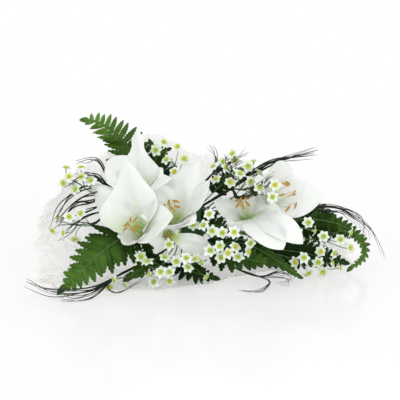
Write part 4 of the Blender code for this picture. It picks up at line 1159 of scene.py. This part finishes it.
def make_grass(name, spec, material):
    """A bundle: long thin tapering blades that leave the foam together and fan out."""
    route, strands = spec
    rng = random.Random(name)
    butt = from_foam(route)
    build = Build()
    low, high = CAD_BOX[0] / MM, CAD_BOX[1] / MM
    for strand in strands:
        for copy in range(STRAND_COPIES):
            spread = 0.0 if copy == 0 else 1.0
            points = []
            for k, place in enumerate(butt + [Vector(p) for p in strand]):
                free = max(0, k - len(butt) + 1)
                wander = (0.7 + 1.9 * free * spread) * (1 if k > 1 else 0.6)
                points.append(place + shaken(rng, wander) * (0.6 if free == 0 else 1.0))
            path = even_path(points, STRAND_POINTS)
            for p in path:
                for axis in range(3):
                    p[axis] = clamp(p[axis], low[axis] + 1.0, high[axis] - 1.0)
            width = STRAND_RADIUS * STRAND_WIDTHS.get(name, 1.0) * rng.uniform(0.75, 1.25)
            radii = [width * (1 - 0.82 * share ** 3) for share in evenly(STRAND_POINTS)]
            build.tube(path, radii, sides=5, flat=0.65, turn=shaken(rng, 1))
    build.piece(name, [material], name)


# ---------------------------------------------------------------- collar

def collar_station(x):
    """The collar's front edge, fold and top edge at x, between the stations on either side."""
    for left, right in zip(COLLAR_STATIONS, COLLAR_STATIONS[1:]):
        if x <= right[0]:
            break
    share = min(1.0, (x - left[0]) / (right[0] - left[0]))
    return [a + (b - a) * share for a, b in zip(left[1:], right[1:])]


def waves(x, y, seed):
    """Smooth uneven waves of two variables in millimetres, between about -1 and 1."""
    total = 0.0
    weight = 0.0
    for k in range(5):
        size = 46 / 1.75 ** k
        angle = 1.3 * k + seed
        phase = math.cos(angle) * x / size + math.sin(angle) * y / size
        total += math.sin(phase * 2 + 1.7 * math.sin(phase * 0.7 + seed + k)) * 0.72 ** k
        weight += 0.72 ** k
    return total / weight * 1.8


def torn(end_share, y, z):
    """How far the sheet's ends draw back along x there: ragged, and rounded towards the top."""
    left = ease(0.10, 0.0, end_share)
    right = ease(0.92, 1.0, end_share)
    ragged = 5 + 5 * waves(y * 1.6, z * 1.6, 9.1) + 2 * waves(y * 5, z * 5, 4.4)
    rounded = 14 * ease(70, 130, z)
    return left * (ragged + rounded) - right * (ragged * 0.8)


def collar_grid():
    """The fibre sheet's surface, with its crumples, pleats and ragged edges."""
    left, right = COLLAR_STATIONS[0][0], COLLAR_STATIONS[-1][0]
    grid = []
    for end_share in evenly(COLLAR_COLUMNS):
        x = left + (right - left) * end_share
        front, fold, top_y, top_z = collar_station(x)
        front += 5 * waves(x, 0, 2.1) + 1.5 * math.sin(x * 0.9)
        top_z += 7 * waves(x, 40, 5.3) + 1.6 * math.sin(x * 1.1 + 2)
        column = []
        for share in evenly(FLOOR_ROWS):
            y = front + (fold - front) * share
            lift = COLLAR_LIFT + 1.2 * waves(x, y, 0.4) + 2.5 * ease(0.12, 0.0, share)
            column.append((x + torn(end_share, y, 0.0), y, max(0.35, lift)))
        for share in evenly(RISE_ROWS)[1:]:
            lean = math.sin(share * math.pi / 2) ** 0.8
            pleat = 3 * share * math.sin(x / 17) + share * 4.0 * waves(x * 1.4, share * 30, 3.3)
            crumple = 1.4 * waves(x * 1.1, share * top_z * 1.1, 7.7)
            column.append((x + torn(end_share, 60.0, share * top_z),
                           fold + (top_y - fold) * lean + pleat + crumple * ease(0, 0.2, share),
                           COLLAR_LIFT + (top_z - COLLAR_LIFT) * share))
        grid.append(column)
    return np.array(grid)


def hole_distance(places):
    """The places' distances from the handle's axis, and their heights along it."""
    away = places - np.array(FOAM_CENTRE)
    height = away @ np.array(HANDLE_AXIS)
    return np.linalg.norm(away - height[..., None] * np.array(HANDLE_AXIS), axis=2), height


def add_thread(threads, path, radius):
    """A loose fibre, kept clear of the table."""
    path = [Vector((p.x, p.y, max(p.z, THREAD_FLOOR))) for p in path]
    threads.tube(path, [radius] * len(path), sides=3)


def add_lying_thread(threads, grid, distance, height, rng):
    """A fibre that wanders over the sheet, up to its edge or its hole."""
    i, j = rng.uniform(0, grid.shape[0] - 1), rng.uniform(0, grid.shape[1] - 1)
    angle, bend = rng.uniform(0, 2 * math.pi), rng.uniform(-0.12, 0.12)
    path = []
    for _ in range(rng.randint(10, 34)):
        if not (0 <= i < grid.shape[0] - 1 and 0 <= j < grid.shape[1] - 1):
            break
        at = int(i), int(j)
        if distance[at] < COLLAR_HOLE_RADIUS + 2 and height[at] > 0:
            break
        path.append(Vector(grid[at]) + Vector((0, 0, 0.4)) + shaken(rng, 0.3))
        i += THREAD_STEP * math.cos(angle)
        j += THREAD_STEP * math.sin(angle)
        angle += bend
    if len(path) > 4:
        add_thread(threads, path, rng.uniform(0.10, 0.24))


def add_fringe_thread(threads, grid, rng):
    """A fibre that sticks out of one of the sheet's torn ends."""
    i, j = rng.choice((0, grid.shape[0] - 1)), rng.randint(1, grid.shape[1] - 2)
    inside = FRINGE_START if i == 0 else grid.shape[0] - 1 - FRINGE_START
    start, edge = Vector(grid[inside, j]), Vector(grid[i, j])
    way = (edge - start).normalized()
    tip = edge + way * rng.uniform(3, 13) + shaken(rng, 5)
    tip.z = max(tip.z, 0.5)
    middle = edge.lerp(tip, 0.5) + shaken(rng, 1.5)
    add_thread(threads, smooth_path([start, edge, middle, tip], steps=3), 0.15)


def make_collar(material, thread):
    """The fibre sheet, with a hole for the handle, and its loose fibres."""
    grid = collar_grid()
    distance, height = hole_distance((grid[:-1, :-1] + grid[1:, 1:]) / 2)
    build = Build()
    build.film(grid, (distance > COLLAR_HOLE_RADIUS) | (height < 0))
    sheet = build.piece("fibre_collar_sheet", [material], "fibre_collar", sharp=80)
    threads = Build()
    rng = random.Random("threads")
    for _ in range(THREADS):
        add_lying_thread(threads, grid, distance, height, rng)
    for _ in range(FRINGE):
        add_fringe_thread(threads, grid, rng)
    return sheet, threads.piece("fibre_collar_threads", [thread])


# ---------------------------------------------------------------- holder

def make_ribbon(material):
    """The satin ribbon: a band wound round the handle, each turn over the edge of the last."""
    side = across(HANDLE_AXIS, UP)
    other = HANDLE_AXIS.cross(side)
    outer = []
    for share in evenly(RIBBON_ROWS):
        z = RIBBON_START + (RIBBON_END - RIBBON_START) * share
        radii = []
        for k in range(RIBBON_SIDES):
            angle = 2 * math.pi * k / RIBBON_SIDES
            turn = (z / RIBBON_PITCH + k / RIBBON_SIDES) % 1.0
            step = RIBBON_STEP * min(1.0, (1 - turn) * 9) * (0.35 + 0.65 * turn)
            crease = 0.12 * math.sin(angle * 3 + z * 0.5) + 0.08 * math.sin(angle * 7 - z * 0.9)
            radii.append(HANDLE_RADIUS + RIBBON_OUTER + step + crease * 0.6)
        outer.append(ring(FOAM_CENTRE + HANDLE_AXIS * z, side, other, radii))
    inner = [HANDLE_RADIUS + RIBBON_INNER] * RIBBON_SIDES
    low, high = (ring(FOAM_CENTRE + HANDLE_AXIS * z, side, other, inner) for z in (RIBBON_START, RIBBON_END))
    rings = [low] + outer + [high]
    heights = np.repeat(np.arange(len(rings)) / len(rings), RIBBON_SIDES)
    build = Build()
    build.add(rings, bands(len(rings), RIBBON_SIDES, closed=True), 0, along=heights, across=heights)
    build.piece("handle_ribbon_wrap", [material], "handle_ribbon", sharp=40)


# ---------------------------------------------------------------- stage, light and camera

def aimed(name, data, place, target):
    """A lamp or a camera at a place, facing the target, both in metres."""
    obj = bpy.data.objects.new(name, data)
    obj.location = place
    obj.rotation_euler = (Vector(target) - Vector(place)).to_track_quat("-Z", "Y").to_euler()
    bpy.context.scene.collection.objects.link(obj)
    return obj


def make_lamps():
    """Soft square lamps round the bouquet."""
    for name, (place, size, power) in LAMPS.items():
        lamp = bpy.data.lights.new(name, "AREA")
        lamp.shape = "SQUARE"
        lamp.size = size
        lamp.energy = power
        aimed(name, lamp, place, LAMP_TARGET)


def background_rays(tree):
    """1 for the rays that show the white background: straight, mirrored or let through."""
    path = tree.nodes.new("ShaderNodeLightPath")
    seen = path.outputs["Is Camera Ray"]
    for kind in ("Is Glossy Ray", "Is Transmission Ray"):
        either = tree.nodes.new("ShaderNodeMath")
        either.operation = "MAXIMUM"
        tree.links.new(seen, either.inputs[0])
        tree.links.new(path.outputs[kind], either.inputs[1])
        seen = either.outputs[0]
    return seen


def make_stage():
    """A white glossy table that fades into the white background."""
    mesh = bpy.data.meshes.new("table")
    corners = [(x * FLOOR_HALF, y * FLOOR_HALF, 0) for x, y in ((-1, -1), (1, -1), (1, 1), (-1, 1))]
    mesh.from_pydata(corners, [], [(0, 1, 2, 3)])
    floor = bpy.data.objects.new("table", mesh)
    bpy.context.scene.collection.objects.link(floor)
    finish = Finish("table_white", 0.12, Specular_IOR_Level=0.3, Base_Color=(0.90, 0.90, 0.90, 1.0))
    tree = finish.tree
    glow = finish.node("ShaderNodeEmission", {"Color": WHITE, "Strength": 1.0})
    distance = finish.node("ShaderNodeVectorMath", {0: finish.place()}, operation="LENGTH").outputs["Value"]
    far = finish.span(distance, GLOW_START, GLOW_FULL, FLOOR_GLOW, 1.0)
    mixed = finish.node("ShaderNodeMixShader", {0: finish.times(far, background_rays(tree))})
    tree.links.new(finish.shader.outputs["BSDF"], mixed.inputs[1])
    tree.links.new(glow.outputs["Emission"], mixed.inputs[2])
    tree.links.new(mixed.outputs["Shader"], tree.nodes["Material Output"].inputs["Surface"])
    mesh.materials.append(finish.material)


def make_world():
    """White to the camera and in reflections, and a plain soft fill for the object."""
    world = bpy.data.worlds.new("studio")
    bpy.context.scene.world = world
    world.use_nodes = True
    tree = world.node_tree
    background = tree.nodes["Background"]
    background.inputs["Color"].default_value = WHITE
    strength = tree.nodes.new("ShaderNodeMapRange")
    strength.inputs["To Min"].default_value = WORLD_FILL
    strength.inputs["To Max"].default_value = 1.0
    tree.links.new(background_rays(tree), strength.inputs["Value"])
    tree.links.new(strength.outputs["Result"], background.inputs["Strength"])


def make_camera():
    """A long lens that looks down a little on the table."""
    camera = bpy.data.cameras.new("camera")
    camera.lens = 100
    camera.sensor_width = 36
    away = Vector((0, -math.cos(CAMERA_ELEVATION), math.sin(CAMERA_ELEVATION)))
    place = CAMERA_TARGET + away * CAMERA_DISTANCE
    bpy.context.scene.camera = aimed("camera", camera, place, CAMERA_TARGET)


# ---------------------------------------------------------------- the bouquet

def dress(node, material):
    """Give a CAD node that keeps its own shape its material."""
    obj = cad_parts[node]
    obj.data.materials.clear()
    obj.data.materials.append(material)


tepal, stem, filament, pollen = (tepal_finish(), plain_finish("lily_stem_green"), filament_finish(),
                                 plain_finish("anther_pollen"))
for lily_name, lily_spec in LILIES.items():
    flower = Lily(lily_spec)
    make_lily_stem(lily_name, flower, stem)
    make_lily_tepals(lily_name, flower, tepal)
    make_lily_stamens(lily_name, flower, filament, pollen)

fern_materials = [plain_finish("fern_stalk_green"), fern_finish()]
for fern_name, fern_spec in FERNS.items():
    make_fern(fern_name, fern_spec, fern_materials)

star_materials = [plain_finish("star_stalk_green"), petal_finish(), cup_finish()]
for spray_name, spray_spec in SPRAYS.items():
    make_spray(spray_name, spray_spec, star_materials)

blade = grass_finish()
for grass_name, grass_spec in GRASS.items():
    make_grass(grass_name, grass_spec, blade)

collar, threads = make_collar(sheet_finish(), plain_finish("plant_fibre_thread"))
make_ribbon(ribbon_finish())
dress("holder_handle", plain_finish("holder_plastic_green"))
dress("floral_foam", foam_finish())

make_stage()
make_world()
make_camera()
make_lamps()
bpy.context.scene.view_settings.view_transform = "Standard"
